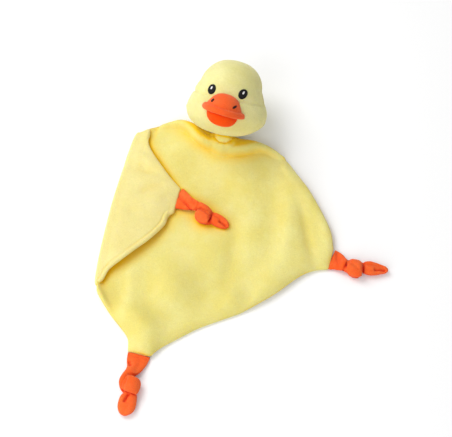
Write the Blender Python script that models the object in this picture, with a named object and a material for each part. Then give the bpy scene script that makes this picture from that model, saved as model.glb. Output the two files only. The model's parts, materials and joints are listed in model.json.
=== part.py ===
"""Duck comfort blanket, lying on its back on a table with one corner folded in.

A square of two sewn velour panels ends in three knotted fabric tags. A stuffed head with a
two-part beak is sewn on at the fourth corner, where the cloth is gathered into a soft neck.
+Z is up, +Y runs from the bottom tag towards the head, and the part stands on z = 0.
"""

import math

import bmesh
import bpy
import numpy as np
from mathutils import Matrix, Vector
from mathutils.bvhtree import BVHTree

MM = 0.001

# Clearances between pieces that touch
GAP = 0.3 * MM
SURFACE_GAP = 0.4 * MM
MOTION_GAP = 0.8 * MM

# Blanket: two layers of velour
BLANKET_SIDE = 250.0 * MM
CLOTH = 2.0 * MM
EDGE_ROUNDING = 3.0 * MM
SEAM_EDGE_SHARE = 0.35

# Places in plan, as shares of the blanket's side, from the middle of the laid blanket
FOLD_TOP_SHARES = (-0.430, 0.400)
FOLD_BOTTOM_SHARES = (-0.558, -0.300)
LOWER_LEFT_SHARES = ((-0.540, -0.365), (-0.498, -0.440), (-0.425, -0.535))
BOTTOM_CORNER_SHARES = (-0.358, -0.635)
BOTTOM_EDGE_SHARES = ((-0.192, -0.566), (-0.071, -0.509), (0.073, -0.455), (0.179, -0.402), (0.274, -0.325))
RIGHT_CORNER_SHARES = (0.452, -0.204)
RIGHT_EDGE_SHARES = (
    (0.451, -0.087), (0.429, 0.006), (0.394, 0.094), (0.344, 0.180), (0.272, 0.274), (0.160, 0.350),
)
LEFT_SHOULDER_SHARES = ((-0.150, 0.445), (-0.235, 0.484), (-0.336, 0.460))
FLAP_UPPER_SHARES = ((-0.385, 0.385), (-0.310, 0.280), (-0.252, 0.207))
FLAP_LOWER_SHARES = ((-0.485, -0.252), (-0.419, -0.185), (-0.350, -0.100), (-0.266, -0.017))
FLAP_TIP_SHARES = (-0.209, 0.090)
NECK_PLACE_SHARES = (-0.008, 0.376)

# Heading of each tag in plan, in degrees from +X
BOTTOM_TAG_HEADING = 256.0
RIGHT_TAG_HEADING = -14.0
LEFT_TAG_HEADING = -30.0

# Relief of the laid cloth above the table
COLLAR_HEIGHT = 17.5 * MM
COLLAR_OUTER_REACH = 12.0 * MM
COLLAR_INNER_REACH = 24.0 * MM
PLEAT_DEPTH = 1.6 * MM
PLEAT_REACH = 16.0 * MM
PLEATS_ROUND = 9
COLLAR_PATH_SHARES = (
    (-0.260, 0.466, 0.45), (-0.176, 0.436, 0.80), (-0.096, 0.376, 0.95), (-0.020, 0.325, 1.0),
    (0.045, 0.312, 1.0), (0.108, 0.325, 0.90), (0.176, 0.328, 0.70), (0.236, 0.296, 0.45),
)
PUFF_HEIGHT = 5.0 * MM
PUFF_SHARES = (
    (-0.300, -0.400, 0.150, 0.95), (0.240, -0.060, 0.170, 0.85), (0.060, 0.150, 0.150, 0.75),
    (0.020, -0.330, 0.140, 0.60), (0.400, -0.120, 0.070, 0.80),
)
FLAP_ARCH = 4.0 * MM

# Where the cloth meets the neck: from the left shoulder round under the chin to the right one, in degrees
NECK_NOTCH_ANGLES = (155.0, 385.0)

# Grid of the cloth panels
FOLD_COUNT = 8
LOWER_LEFT_COUNT = 4
TAG_SEAM_COUNT = 2
BOTTOM_COUNT = 10
RADIAL_COUNT = 12
FLAP_LENGTH_COUNT = 10
FLAP_SEAM_COUNT = 8
RADIAL_CROWDING = 1.35

# Head, seen face on: width across the cheeks, height from crown to neck, depth from face to nape
HEAD_WIDTH = 92.0 * MM
HEAD_HEIGHT = 86.0 * MM
HEAD_DEPTH = 78.0 * MM
HEAD_CLOTH = 1.8 * MM
HEAD_WIDTH_SHARES = (0.0, 0.33, 0.57, 0.745, 0.835, 0.885, 0.940, 0.990, 1.0, 0.915, 0.70, 0.41, 0.0)
HEAD_DEPTH_SHARES = (0.0, 0.36, 0.62, 0.82, 0.93, 0.97, 1.0, 1.0, 0.97, 0.88, 0.70, 0.42, 0.0)
HEAD_LEVEL_SHARES = (1.0, 0.935, 0.77, 0.51, 0.21, 0.0, -0.19, -0.37, -0.52, -0.72, -0.895, -0.98, -1.0)
FACE_ELEVATION = 54.5
HEAD_ROLL = 12.0
FACE_YAW = 9.0
CHEEK_SEAM_SHARE = 0.12
BEAK_OPENING = 4.0
SIDE_SEAM_ANGLE = 90.0
HEAD_FRONT_COUNT = 8
HEAD_HALF_COUNT = 13
HEAD_SHELL_COUNTS = (28, 14)
FACE_CUTTER_COUNTS = (40, 24)
FACE_SKIN_COUNTS = (48, 32)

# Neck: the gathered corner of the cloth, bound with thread
NECK_RADIUS = 11.0 * MM
NECK_SINK = 5.0 * MM
NECK_DIP_SHARE = 0.8
THREAD_RADIUS = 0.6 * MM
THREAD_GROOVE = 1.7 * MM
NECK_PUCKERS = 12
PUCKER_DEPTH = 0.5 * MM
THREAD_COUNTS = (24, 8)
NECK_CUTTER_COUNTS = (24, 12)

# Beak: each bill is a fabric shell round its stuffing. Rings of (reach, rise) from the mouth line
MOUTH_DROP = 14.0 * MM
BILL_SEAT = 6.0 * MM
MOUTH_GAP = 0.6 * MM
UPPER_BILL_WIDTH = 49.0 * MM
UPPER_BILL_REACH = 27.0 * MM
UPPER_BILL_HEIGHT = 24.0 * MM
UPPER_BILL_SHARES = (
    (0.02, 1.0), (0.22, 0.985), (0.41, 0.90), (0.55, 0.76), (0.70, 0.57), (0.81, 0.38), (0.89, 0.25),
    (0.96, 0.16), (1.0, 0.08), (0.975, 0.0),
)
UPPER_HOLLOW_SHARES = (
    (0.02, 0.92), (0.19, 0.905), (0.34, 0.83), (0.47, 0.69), (0.60, 0.51), (0.69, 0.34), (0.74, 0.19),
    (0.72, 0.08),
)
LOWER_BILL_WIDTH = 35.0 * MM
LOWER_BILL_REACH = 22.0 * MM
LOWER_BILL_HEIGHT = 14.0 * MM
LOWER_BILL_SHARES = (
    (0.02, 1.0), (0.34, 0.96), (0.64, 0.83), (0.86, 0.60), (0.97, 0.36), (1.0, 0.14), (0.97, 0.0),
)
LOWER_HOLLOW_SHARES = ((0.02, 0.88), (0.30, 0.84), (0.54, 0.72), (0.72, 0.53), (0.82, 0.34), (0.82, 0.16))

# Embroidery on the face
EYE_SPACING = 34.0 * MM
EYE_RISE = 9.8 * MM
EYE_WIDTH = 8.8 * MM
EYE_HEIGHT = 11.4 * MM
EYE_TILT = 9.0
EMBROIDERY = 0.9 * MM
HIGHLIGHT_WIDTH = 2.4 * MM
HIGHLIGHT_HEIGHT = 4.0 * MM
HIGHLIGHT_RISE = 1.3 * MM
HIGHLIGHT_RELIEF = 0.5 * MM
NOSTRIL_SPREAD_SHARE = 0.51
NOSTRIL_RISE_SHARE = 0.458
NOSTRIL_LENGTH = 4.6 * MM
NOSTRIL_WIDTH = 2.0 * MM
NOSTRIL_TILT = 35.0
NOSTRIL_RELIEF = 0.8 * MM

# Tags: tubes of velour tied in an overhand knot
TAG_LENGTH = 65.0 * MM
TAG_WIDTH = 24.0 * MM
TAG_THICKNESS = 18.0 * MM
TAG_SECTION_SHARES = (
    (0.0, 0.48, 0.20), (0.10, 0.47, 0.26), (0.20, 0.36, 0.36), (0.30, 0.25, 0.44), (0.37, 0.33, 0.68),
    (0.45, 0.42, 0.84), (0.53, 0.43, 0.86), (0.60, 0.34, 0.70), (0.67, 0.25, 0.48), (0.75, 0.31, 0.52),
    (0.85, 0.35, 0.54), (0.93, 0.30, 0.48), (0.98, 0.18, 0.32),
)
WRAP_PLACE_SHARE = 0.49
WRAP_TILT = 32.0
WRAP_WIDTH = 19.0 * MM
WRAP_HEIGHT = 14.0 * MM
WRAP_STRAND = 3.2 * MM
TAG_ROUND_COUNT = 16
WRAP_COUNTS = (20, 8)

# Ranges of the joints that the cloth has to leave room for, in degrees
NOD_RANGE = 35.0
TURN_RANGE = 30.0

# Colours: base colour, roughness
VELOUR_YELLOW = ((0.86, 0.74, 0.24, 1.0), 0.9)
HEAD_YELLOW = ((0.84, 0.79, 0.34, 1.0), 0.9)
VELOUR_ORANGE = ((0.90, 0.13, 0.03, 1.0), 0.9)
BRIGHT_ORANGE = ((0.90, 0.08, 0.01, 1.0), 0.9)
FIBREFILL_WHITE = ((0.85, 0.85, 0.82, 1.0), 1.0)
THREAD_BLACK = ((0.01, 0.01, 0.01, 1.0), 0.6)
THREAD_WHITE = ((0.9, 0.9, 0.9, 1.0), 0.6)
THREAD_BROWN = ((0.06, 0.01, 0.005, 1.0), 0.6)


def clear_scene():
    for obj in list(bpy.data.objects):
        bpy.data.objects.remove(obj)


def material(name, look):
    colour, roughness = look
    made = bpy.data.materials.get(name) or bpy.data.materials.new(name)
    made.use_nodes = True
    shader = made.node_tree.nodes["Principled BSDF"]
    shader.inputs["Base Color"].default_value = colour
    shader.inputs["Roughness"].default_value = roughness
    shader.inputs["Metallic"].default_value = 0.0
    return made


def new_object(name, verts, faces, made_of, parent=None):
    """A mesh object whose verts are world coordinates, placed under its parent empty."""
    mesh = bpy.data.meshes.new(name)
    mesh.from_pydata([tuple(v) for v in verts], [], [tuple(f) for f in faces])
    tidy = bmesh.new()
    tidy.from_mesh(mesh)
    bmesh.ops.remove_doubles(tidy, verts=tidy.verts, dist=MM * MM)
    bmesh.ops.dissolve_degenerate(tidy, edges=tidy.edges, dist=MM * MM)
    bmesh.ops.recalc_face_normals(tidy, faces=tidy.faces)
    tidy.to_mesh(mesh)
    tidy.free()
    mesh.shade_smooth()
    if made_of:
        mesh.materials.append(made_of)
    obj = bpy.data.objects.new(name, mesh)
    bpy.context.scene.collection.objects.link(obj)
    if parent:
        mesh.transform(parent.matrix_world.inverted())
        obj.parent = parent
    return obj


def new_empty(name, frame, parent=None):
    empty = bpy.data.objects.new(name, None)
    bpy.context.scene.collection.objects.link(empty)
    empty.parent = parent
    empty.matrix_basis = parent.matrix_world.inverted() @ frame if parent else frame
    bpy.context.view_layer.update()
    return empty


def hide_helper(obj):
    obj.hide_render = True
    obj.display_type = "WIRE"


def cut(obj, cutter, name):
    modifier = obj.modifiers.new(name, "BOOLEAN")
    modifier.operation = "DIFFERENCE"
    modifier.solver = "EXACT"
    modifier.object = cutter


def join_solid(obj, other, name):
    modifier = obj.modifiers.new(name, "BOOLEAN")
    modifier.operation = "UNION"
    modifier.solver = "EXACT"
    modifier.object = other


def slab(lower, upper):
    """Verts and faces of the closed solid between two grids of points of equal size."""
    rows, columns = lower.shape[:2]
    verts = np.concatenate([lower.reshape(-1, 3), upper.reshape(-1, 3)])
    top = rows * columns
    faces = []
    for i in range(rows - 1):
        for j in range(columns - 1):
            a, b = i * columns + j, (i + 1) * columns + j
            faces.append((a, a + 1, b + 1, b))
            faces.append((top + a, top + b, top + b + 1, top + a + 1))
    rim = [(0, j) for j in range(columns)] + [(i, columns - 1) for i in range(1, rows)]
    rim += [(rows - 1, j) for j in range(columns - 2, -1, -1)] + [(i, 0) for i in range(rows - 2, 0, -1)]
    index = [i * columns + j for i, j in rim]
    for a, b in zip(index, index[1:] + index[:1]):
        faces.append((a, top + a, top + b, b))
    return verts, faces


def ringed(rings):
    """Verts and faces of a solid made of closed rings of points, its ends closed by one point each."""
    count = len(rings[0])
    verts = [p for ring in rings for p in ring]
    faces = []
    for k in range(len(rings) - 1):
        for i in range(count):
            j = (i + 1) % count
            a, b = k * count, (k + 1) * count
            faces.append((a + i, a + j, b + j, b + i))
    for base in (0, (len(rings) - 1) * count):
        middle = len(verts)
        verts.append(np.mean([verts[base + i] for i in range(count)], axis=0))
        faces += [(base + i, base + (i + 1) % count, middle) for i in range(count)]
    return verts, faces


def between(a, b, c, d, t):
    """The Catmull-Rom blend from b to c, with a before them and d after them."""
    square = 2 * a - 5 * b + 4 * c - d
    cube = 3 * b - a - 3 * c + d
    return 0.5 * (2 * b + (c - a) * t + square * t**2 + cube * t**3)


def smooth_curve(points, shares):
    """Points on a Catmull-Rom curve through the given points, at shares of its length."""
    points = np.array(points, float)
    padded = np.vstack([2 * points[0] - points[1], points, 2 * points[-1] - points[-2]])
    dense = []
    for k in range(len(points) - 1):
        a, b, c, d = padded[k : k + 4]
        for t in np.linspace(0, 1, 17)[: 17 if k == len(points) - 2 else 16]:
            dense.append(between(a, b, c, d, t))
    dense = np.array(dense)
    lengths = np.concatenate([[0], np.cumsum(np.linalg.norm(np.diff(dense, axis=0), axis=1))])
    wanted = np.array(shares) * lengths[-1]
    return np.stack([np.interp(wanted, lengths, dense[:, k]) for k in range(points.shape[1])], axis=1)


def plan(shares):
    return np.array(shares, float) * BLANKET_SIDE


def tag_seam(place, heading):
    """The two ends of the seam that a tag is sewn to: the one on its left, then the one on its right."""
    across = np.array([-math.sin(math.radians(heading)), math.cos(math.radians(heading))])
    middle = plan(place)
    return middle + across * TAG_WIDTH / 2, middle - across * TAG_WIDTH / 2


def coons(south, north, west, east):
    """Grid of plan points between four boundary curves: south and north run west to east."""
    columns, rows = len(south), len(west)
    u = (arc_shares(south) + arc_shares(north)) / 2
    v = (arc_shares(west) + arc_shares(east)) / 2
    grid = np.zeros((rows, columns, 2))
    for j in range(rows):
        for i in range(columns):
            across = (1 - u[i]) * west[j] + u[i] * east[j]
            along = (1 - v[j]) * south[i] + v[j] * north[i]
            corners = (1 - u[i]) * ((1 - v[j]) * south[0] + v[j] * north[0])
            corners = corners + u[i] * ((1 - v[j]) * south[-1] + v[j] * north[-1])
            grid[j, i] = across + along - corners
    return grid


def arc_shares(points):
    steps = np.linalg.norm(np.diff(points, axis=0), axis=1)
    return np.concatenate([[0], np.cumsum(steps)]) / steps.sum()


def even(cells, crowding=1.0):
    return np.linspace(0, 1, cells + 1) ** crowding


def with_edge_rows(points, start=True, end=True):
    """Adds a point one edge rounding inside each named end of a boundary curve."""
    points = list(points)
    if start:
        step = points[1] - points[0]
        points.insert(1, points[0] + step / np.linalg.norm(step) * EDGE_ROUNDING)
    if end:
        step = points[-2] - points[-1]
        points.insert(-1, points[-1] + step / np.linalg.norm(step) * EDGE_ROUNDING)
    return np.array(points)


def head_frame():
    """The head's axes in the world: to its side, into its face from the front, and up through its crown."""
    elevation, roll, yaw = (math.radians(a) for a in (FACE_ELEVATION, HEAD_ROLL, FACE_YAW))
    face = Vector((0, -math.cos(elevation), math.sin(elevation)))
    level = Vector((1, 0, 0))
    up = face.cross(level) * math.cos(roll) + level * math.sin(roll)
    back = Matrix.Rotation(-yaw, 3, up) @ -face
    return back.cross(up), back, up


def spread(values, at):
    """A smooth curve through evenly spaced values, read at 0 to 1."""
    place = np.clip(at, 0, 1) * (len(values) - 1)
    k = np.minimum(place.astype(int), len(values) - 2)
    t = place - k
    before = -values[1] if values[0] == 0 else values[1]
    after = -values[-2] if values[-1] == 0 else values[-2]
    padded = np.array([before, *values, after])
    a, b, c, d = padded[k], padded[k + 1], padded[k + 2], padded[k + 3]
    return between(a, b, c, d, t)


def head_points(directions, grow=0.0):
    """Points of the head's surface, in its own frame, for unit directions from its middle."""
    d = np.array(directions, float)
    polar = np.arccos(np.clip(d[..., 2], -1, 1)) / math.pi
    flat = np.maximum(np.hypot(d[..., 0], d[..., 1]), 1e-9)
    wide = spread(HEAD_WIDTH_SHARES, polar) * (HEAD_WIDTH / 2 + grow)
    deep = spread(HEAD_DEPTH_SHARES, polar) * (HEAD_DEPTH / 2 + grow)
    levels = len(HEAD_LEVEL_SHARES)
    level = np.interp(polar * (levels - 1), range(levels), HEAD_LEVEL_SHARES) * (HEAD_HEIGHT / 2 + grow)
    return np.stack([wide * d[..., 0] / flat, deep * d[..., 1] / flat, level], axis=-1)


def face_directions(from_front, around):
    """Unit directions by their angle from the face's axis and their angle around it."""
    a, b = np.meshgrid(np.radians(from_front), np.radians(around), indexing="ij")
    return np.stack([np.sin(a) * np.cos(b), -np.cos(a), np.sin(a) * np.sin(b)], axis=-1)


def ring_directions(polar, count):
    """Unit directions round the Z axis, at one angle from it."""
    azimuth = np.linspace(0, 2 * math.pi, count, endpoint=False)
    level = np.full(count, math.cos(polar))
    return np.stack([math.sin(polar) * np.cos(azimuth), math.sin(polar) * np.sin(azimuth), level], axis=-1)


def sphere_rings(radius):
    around, levels = NECK_CUTTER_COUNTS
    polars = np.linspace(0, math.pi, levels + 1)[1:-1]
    return [radius * ring_directions(polar, around) for polar in polars]


def head_rings(grow, counts=HEAD_SHELL_COUNTS):
    around, levels = counts
    polars = np.linspace(0, math.pi, levels + 1)[1:-1]
    return [head_points(ring_directions(polar, around), grow) for polar in polars]


def in_frame(points, frame):
    """Local points moved into the world by a 4 x 4 frame."""
    m = np.array(frame)
    return np.array(points).reshape(-1, 3) @ m[:3, :3].T + m[:3, 3]


def head_place():
    """The head's frame: its middle is where its back rests on the table and its neck is over its place."""
    side, back, up = head_frame()
    turn = Matrix((side, back, up)).transposed().to_4x4()
    outline = in_frame(np.concatenate(head_rings(0.0)), turn)
    drop = HEAD_HEIGHT / 2 - NECK_SINK
    place = plan(NECK_PLACE_SHARES)
    middle = Vector((place[0], place[1], 0)) + up * drop
    middle.z = -outline[:, 2].min() + GAP
    turn.translation = middle
    return turn, middle - up * drop


class LaidCloth:
    """Height of the laid blanket's underside over the table, at any place in plan."""

    def __init__(self, head_turn, neck):
        places = [(x * BLANKET_SIDE, y * BLANKET_SIDE, rise) for x, y, rise in COLLAR_PATH_SHARES]
        self.path = smooth_curve(places, np.linspace(0, 1, 60))
        self.neck = neck
        self.trees = self.head_trees(head_turn, neck)

    @staticmethod
    def head_trees(head_turn, neck):
        """The head's outside in the poses that it can take, so that the collar stays out of its way."""
        side, _, up = (Vector(head_turn.col[k][:3]) for k in range(3))
        verts, faces = ringed(head_rings(0.0))
        at_neck = Matrix.Translation(neck)
        trees = []
        for nod in np.linspace(0, NOD_RANGE, 5):
            for turn in np.linspace(-TURN_RANGE, TURN_RANGE, 5):
                nodding = Matrix.Rotation(math.radians(nod), 4, side)
                turning = Matrix.Rotation(math.radians(turn), 4, up)
                moved = in_frame(verts, at_neck @ nodding @ turning @ at_neck.inverted() @ head_turn)
                trees.append(BVHTree.FromPolygons([Vector(p) for p in moved], faces))
        return trees

    def under_head(self, x, y):
        """How high the head is over this place in its lowest pose."""
        lowest = math.inf
        for tree in self.trees:
            hit = tree.ray_cast(Vector((x, y, -HEAD_HEIGHT)), Vector((0, 0, 1)))[0]
            if hit:
                lowest = min(lowest, hit.z)
        return lowest

    def collar(self, x, y):
        offset = self.path[:, :2] - (x, y)
        away = np.hypot(offset[:, 0], offset[:, 1])
        k = int(np.argmin(away))
        spot = np.array([x, y])
        crest = self.path[k, :2]
        neck_side = np.dot(spot - crest, np.array(self.neck[:2]) - crest) > 0
        reach = COLLAR_INNER_REACH if neck_side else COLLAR_OUTER_REACH
        from_neck = spot - np.array(self.neck[:2])
        out = np.hypot(*from_neck) - NECK_RADIUS
        pleat = PLEAT_DEPTH * math.cos(PLEATS_ROUND * math.atan2(from_neck[1], from_neck[0]))
        ridge = COLLAR_HEIGHT * self.path[k, 2] * math.exp(-((away[k] / reach) ** 2))
        return max(0.0, ridge + pleat * math.exp(-((out / PLEAT_REACH) ** 2)))

    def underside(self, x, y):
        height = self.collar(x, y)
        for cx, cy, reach, rise in PUFF_SHARES:
            far = math.hypot(x - cx * BLANKET_SIDE, y - cy * BLANKET_SIDE) / (reach * BLANKET_SIDE)
            if far < 1:
                height = max(height, PUFF_HEIGHT * rise * (1 - far * far) ** 2)
        room = self.under_head(x, y) - 2 * CLOTH - GAP - MOTION_GAP
        return max(0.0, min(height, room))

    def top(self, x, y):
        return self.underside(x, y) + 2 * CLOTH + GAP


def blanket_grid(cloth, neck):
    """Plan points of the laid blanket: rows run out from the neck, columns from the fold round its edge."""
    fold_top, fold_bottom = plan(FOLD_TOP_SHARES), plan(FOLD_BOTTOM_SHARES)
    tag_b = tag_seam(BOTTOM_CORNER_SHARES, BOTTOM_TAG_HEADING)
    tag_r = tag_seam(RIGHT_CORNER_SHARES, RIGHT_TAG_HEADING)
    outer = [np.linspace(fold_top, fold_bottom, FOLD_COUNT + 1)]
    lower_left = [fold_bottom, *plan(LOWER_LEFT_SHARES), tag_b[1]]
    outer.append(smooth_curve(lower_left, even(LOWER_LEFT_COUNT))[1:])
    outer.append(np.linspace(tag_b[1], tag_b[0], TAG_SEAM_COUNT + 1)[1:])
    outer.append(smooth_curve([tag_b[0], *plan(BOTTOM_EDGE_SHARES), tag_r[1]], even(BOTTOM_COUNT))[1:])
    outer.append(np.linspace(tag_r[1], tag_r[0], TAG_SEAM_COUNT + 1)[1:])
    outer = with_edge_rows(np.concatenate(outer))
    radius = NECK_RADIUS + GAP
    start, end = NECK_NOTCH_ANGLES
    inner = []
    for angle in np.radians(start + (end - start) * arc_shares(outer)):
        way = np.array([math.cos(angle), math.sin(angle)])
        top = cloth.top(*(np.array(neck[:2]) + radius * way))
        below = np.clip(neck.z - top, 0, NECK_DIP_SHARE * radius)
        inner.append(np.array(neck[:2]) + math.sqrt(radius**2 - below**2) * way)
    inner = np.array(inner)
    rows = even(RADIAL_COUNT, RADIAL_CROWDING)
    left = smooth_curve([inner[0], *plan(LEFT_SHOULDER_SHARES), outer[0]], rows)
    right = smooth_curve([inner[-1], *plan(RIGHT_EDGE_SHARES)[::-1], outer[-1]], rows)
    left = with_edge_rows(left, start=False)
    right = with_edge_rows(right, start=False)
    return coons(inner, outer, left, right)


def edge_thinning(grid):
    """1 inside a panel and less on its sewn edges, which are rounded off."""
    share = np.ones(grid.shape[:2])
    share[-1, :] = share[:, 0] = share[:, -1] = SEAM_EDGE_SHARE
    return share


def cloth_layers(grid, underside, thinning):
    """Two sewn panels over a grid of heights: lower then upper, each as its (lower points, upper points)."""

    def raised(height):
        return np.concatenate([grid, (underside + height)[..., None]], axis=2)

    seam = CLOTH + GAP / 2
    level = np.zeros_like(thinning)
    low = raised(seam - GAP / 2 - CLOTH * thinning), raised(seam - GAP / 2 + level)
    high = raised(seam + GAP / 2 + level), raised(seam + GAP / 2 + CLOTH * thinning)
    return low, high


def build_blanket(cloth, neck, root, yellow):
    grid = blanket_grid(cloth, neck)
    cells = np.cross(grid[1:, :-1] - grid[:-1, :-1], grid[:-1, 1:] - grid[:-1, :-1])
    print("smallest and largest plan cell, mm2:", cells.min() / MM**2, cells.max() / MM**2)
    underside = np.array([[cloth.underside(*p) for p in row] for row in grid])
    low, high = cloth_layers(grid, underside, edge_thinning(grid))
    new_object("blanket_back_panel", *slab(*low), yellow, root)
    new_object("blanket_front_panel", *slab(*high), yellow, root)


def flap_grid():
    """Plan points of the folded corner: rows run from the fold to its tag, columns from edge to edge."""
    fold_top, fold_bottom = plan(FOLD_TOP_SHARES), plan(FOLD_BOTTOM_SHARES)
    seam_top, seam_bottom = tag_seam(FLAP_TIP_SHARES, LEFT_TAG_HEADING)
    fold = with_edge_rows(np.linspace(fold_bottom, fold_top, FLAP_SEAM_COUNT + 1))
    seam = with_edge_rows(np.linspace(seam_bottom, seam_top, FLAP_SEAM_COUNT + 1), False, False)
    seam = np.stack([np.interp(arc_shares(fold), arc_shares(seam), seam[:, k]) for k in range(2)], axis=1)
    lower = smooth_curve([fold_bottom, *plan(FLAP_LOWER_SHARES), seam_bottom], even(FLAP_LENGTH_COUNT))
    upper = smooth_curve([fold_top, *plan(FLAP_UPPER_SHARES), seam_top], even(FLAP_LENGTH_COUNT))
    return coons(fold, seam, with_edge_rows(lower, start=False), with_edge_rows(upper, start=False))


def build_flap(cloth, hinge, yellow):
    grid = flap_grid()
    out = np.array([arc_shares(grid[:, j]) for j in range(grid.shape[1])]).T
    arch = FLAP_ARCH * 4 * out * (1 - out)
    rest = np.array([[cloth.top(*p) for p in row] for row in grid]) + GAP
    low, high = cloth_layers(grid, rest + arch, edge_thinning(grid))
    new_object("corner_front_panel", *slab(*low), yellow, hinge)
    new_object("corner_back_panel", *slab(*high), yellow, hinge)


def panel(name, from_front, around, made_of, parent, frame):
    directions = face_directions(from_front, around)
    inner = in_frame(head_points(directions, -HEAD_CLOTH), frame).reshape(*directions.shape)
    outer = in_frame(head_points(directions), frame).reshape(*directions.shape)
    return new_object(name, *slab(inner, outer), made_of, parent)


def build_head(frame, parent, cutter, yellow, fibrefill):
    """Three sewn panels round the stuffing. The two front ones meet across the cheeks, behind the beak."""
    edge = math.degrees(GAP / HEAD_DEPTH)
    seam = math.degrees(math.asin(CHEEK_SEAM_SHARE))
    ahead = np.linspace(0, SIDE_SEAM_ANGLE, HEAD_FRONT_COUNT + 1)
    rear = np.linspace(SIDE_SEAM_ANGLE, 180, HEAD_FRONT_COUNT + 1)
    front = np.concatenate([[BEAK_OPENING], ahead[1:-1], [SIDE_SEAM_ANGLE - edge]])
    upper = np.linspace(seam, 180 - seam, HEAD_HALF_COUNT + 1)
    lower = np.linspace(180 - seam, 360 + seam, HEAD_HALF_COUNT + 1)
    sides = []
    for around in (upper, lower):
        inset = around.copy()
        inset[0] += 2 * edge
        inset[-1] -= 2 * edge
        sides.append(inset)
    panel("head_forehead_panel", front, sides[0], yellow, parent, frame)
    chin = panel("head_chin_panel", front, sides[1], yellow, parent, frame)
    around = np.concatenate([upper[:-1], lower[:-1]])
    behind = np.concatenate([[SIDE_SEAM_ANGLE + edge], rear[1:-1]])
    outer = [head_points(face_directions([a], around)[0]) for a in behind]
    inner = [head_points(face_directions([a], around)[0], -HEAD_CLOTH) for a in behind]
    back = new_object("head_back_panel", *solid_in(frame, bowl(outer, inner)), yellow, parent)
    whole = np.concatenate([ahead[1:], rear[1:-1]])
    filling = [head_points(face_directions([a], around)[0], -HEAD_CLOTH - SURFACE_GAP) for a in whole]
    stuffing = new_object("head_stuffing", *solid_in(frame, ringed(filling)), fibrefill, parent)
    for obj in (chin, back, stuffing):
        cut(obj, cutter, "neck_hole")


def bowl(outer, inner):
    """A bowl between two sets of rings that run from its rim to its closed end."""
    count, levels = len(outer[0]), len(outer)
    verts = [p for ring in outer + inner for p in ring]
    faces = []
    for start in (0, levels * count):
        for k in range(levels - 1):
            a = start + k * count
            b = a + count
            faces += [(a + i, a + (i + 1) % count, b + (i + 1) % count, b + i) for i in range(count)]
        end = start + (levels - 1) * count
        verts.append(np.mean(verts[end : end + count], axis=0))
        middle = len(verts) - 1
        faces += [(end + i, end + (i + 1) % count, middle) for i in range(count)]
    lower = levels * count
    faces += [(i, (i + 1) % count, lower + (i + 1) % count, lower + i) for i in range(count)]
    return verts, faces


def solid_in(frame, made):
    verts, faces = made
    return in_frame(verts, frame), faces


def build_neck(frame, neck, parent, yellow, thread_look):
    """The gathered ball of cloth, with the groove that its thread pulls in, turned about the head's axis."""
    rings = []
    for polar in np.radians(np.linspace(8, 172, 15)):
        waist = THREAD_GROOVE * math.exp(-(((polar - math.pi / 2) / 0.16) ** 2))
        pucker = PUCKER_DEPTH * (np.arange(2 * NECK_PUCKERS) % 2)
        radius = NECK_RADIUS - waist - pucker * math.sin(polar)
        rings.append(radius[:, None] * ring_directions(polar, 2 * NECK_PUCKERS))
    at = frame.copy()
    at.translation = neck
    new_object("neck_gather", *solid_in(at, ringed(rings)), yellow, parent)
    ring_radius = NECK_RADIUS - THREAD_GROOVE + GAP + THREAD_RADIUS
    verts, faces = torus(ring_radius, ring_radius, THREAD_RADIUS, *THREAD_COUNTS)
    new_object("neck_thread", in_frame(verts, at), faces, thread_look, parent)


def torus(wide, tall, strand, around, section):
    """A ring about Z whose outline is an ellipse."""
    verts, faces = [], []
    for k in range(around):
        a = 2 * math.pi * k / around
        for m in range(section):
            b = 2 * math.pi * m / section
            out = strand * math.cos(b)
            verts.append(((wide + out) * math.cos(a), (tall + out) * math.sin(a), strand * math.sin(b)))
    for k in range(around):
        for m in range(section):
            n, o = (k + 1) % around, (m + 1) % section
            faces.append((k * section + m, n * section + m, n * section + o, k * section + o))
    return verts, faces


def bill_rings(width, reach, height, ring_shares, ease, around=24):
    """Rings of a bill, from its far end to the mouth line, each drawn in by the ease."""
    middle = (ring_shares[0][1] + ring_shares[-1][1]) / 2
    azimuth = np.linspace(0, 2 * math.pi, around, endpoint=False)
    rings = []
    for out, rise in ring_shares:
        x = out * (width / 2 - ease / ring_shares[-1][0]) * np.cos(azimuth)
        y = out * (reach - ease / ring_shares[-1][0]) * np.sin(azimuth)
        z = rise * height - ease * (rise - middle) / (ring_shares[0][1] - middle)
        rings.append(np.stack([x, y, np.full(around, z)], axis=1))
    return rings


def build_bill(name, frame, sizes, outer_shares, hollow_shares, way, parent, cutter, looks):
    """A bill's fabric shell and its stuffing, both cut to the face behind them. Way is up or down."""
    look, fibrefill = looks

    def solid(shares, ease):
        off_mouth = (0, 0, way * MOUTH_GAP / 2)
        rings = [ring * (1, 1, way) + off_mouth for ring in bill_rings(*sizes, shares, ease)]
        return solid_in(frame, ringed(rings))

    shell = new_object(name, *solid(outer_shares, 0.0), look, parent)
    cut(shell, cutter, "face")
    hollow = new_object(name + "_hollow", *solid(hollow_shares, 0.0), None, parent)
    hide_helper(hollow)
    cut(shell, hollow, "hollow")
    stuffing = new_object(name + "_stuffing", *solid(hollow_shares, SURFACE_GAP), fibrefill, parent)
    cut(stuffing, cutter, "face")


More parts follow.
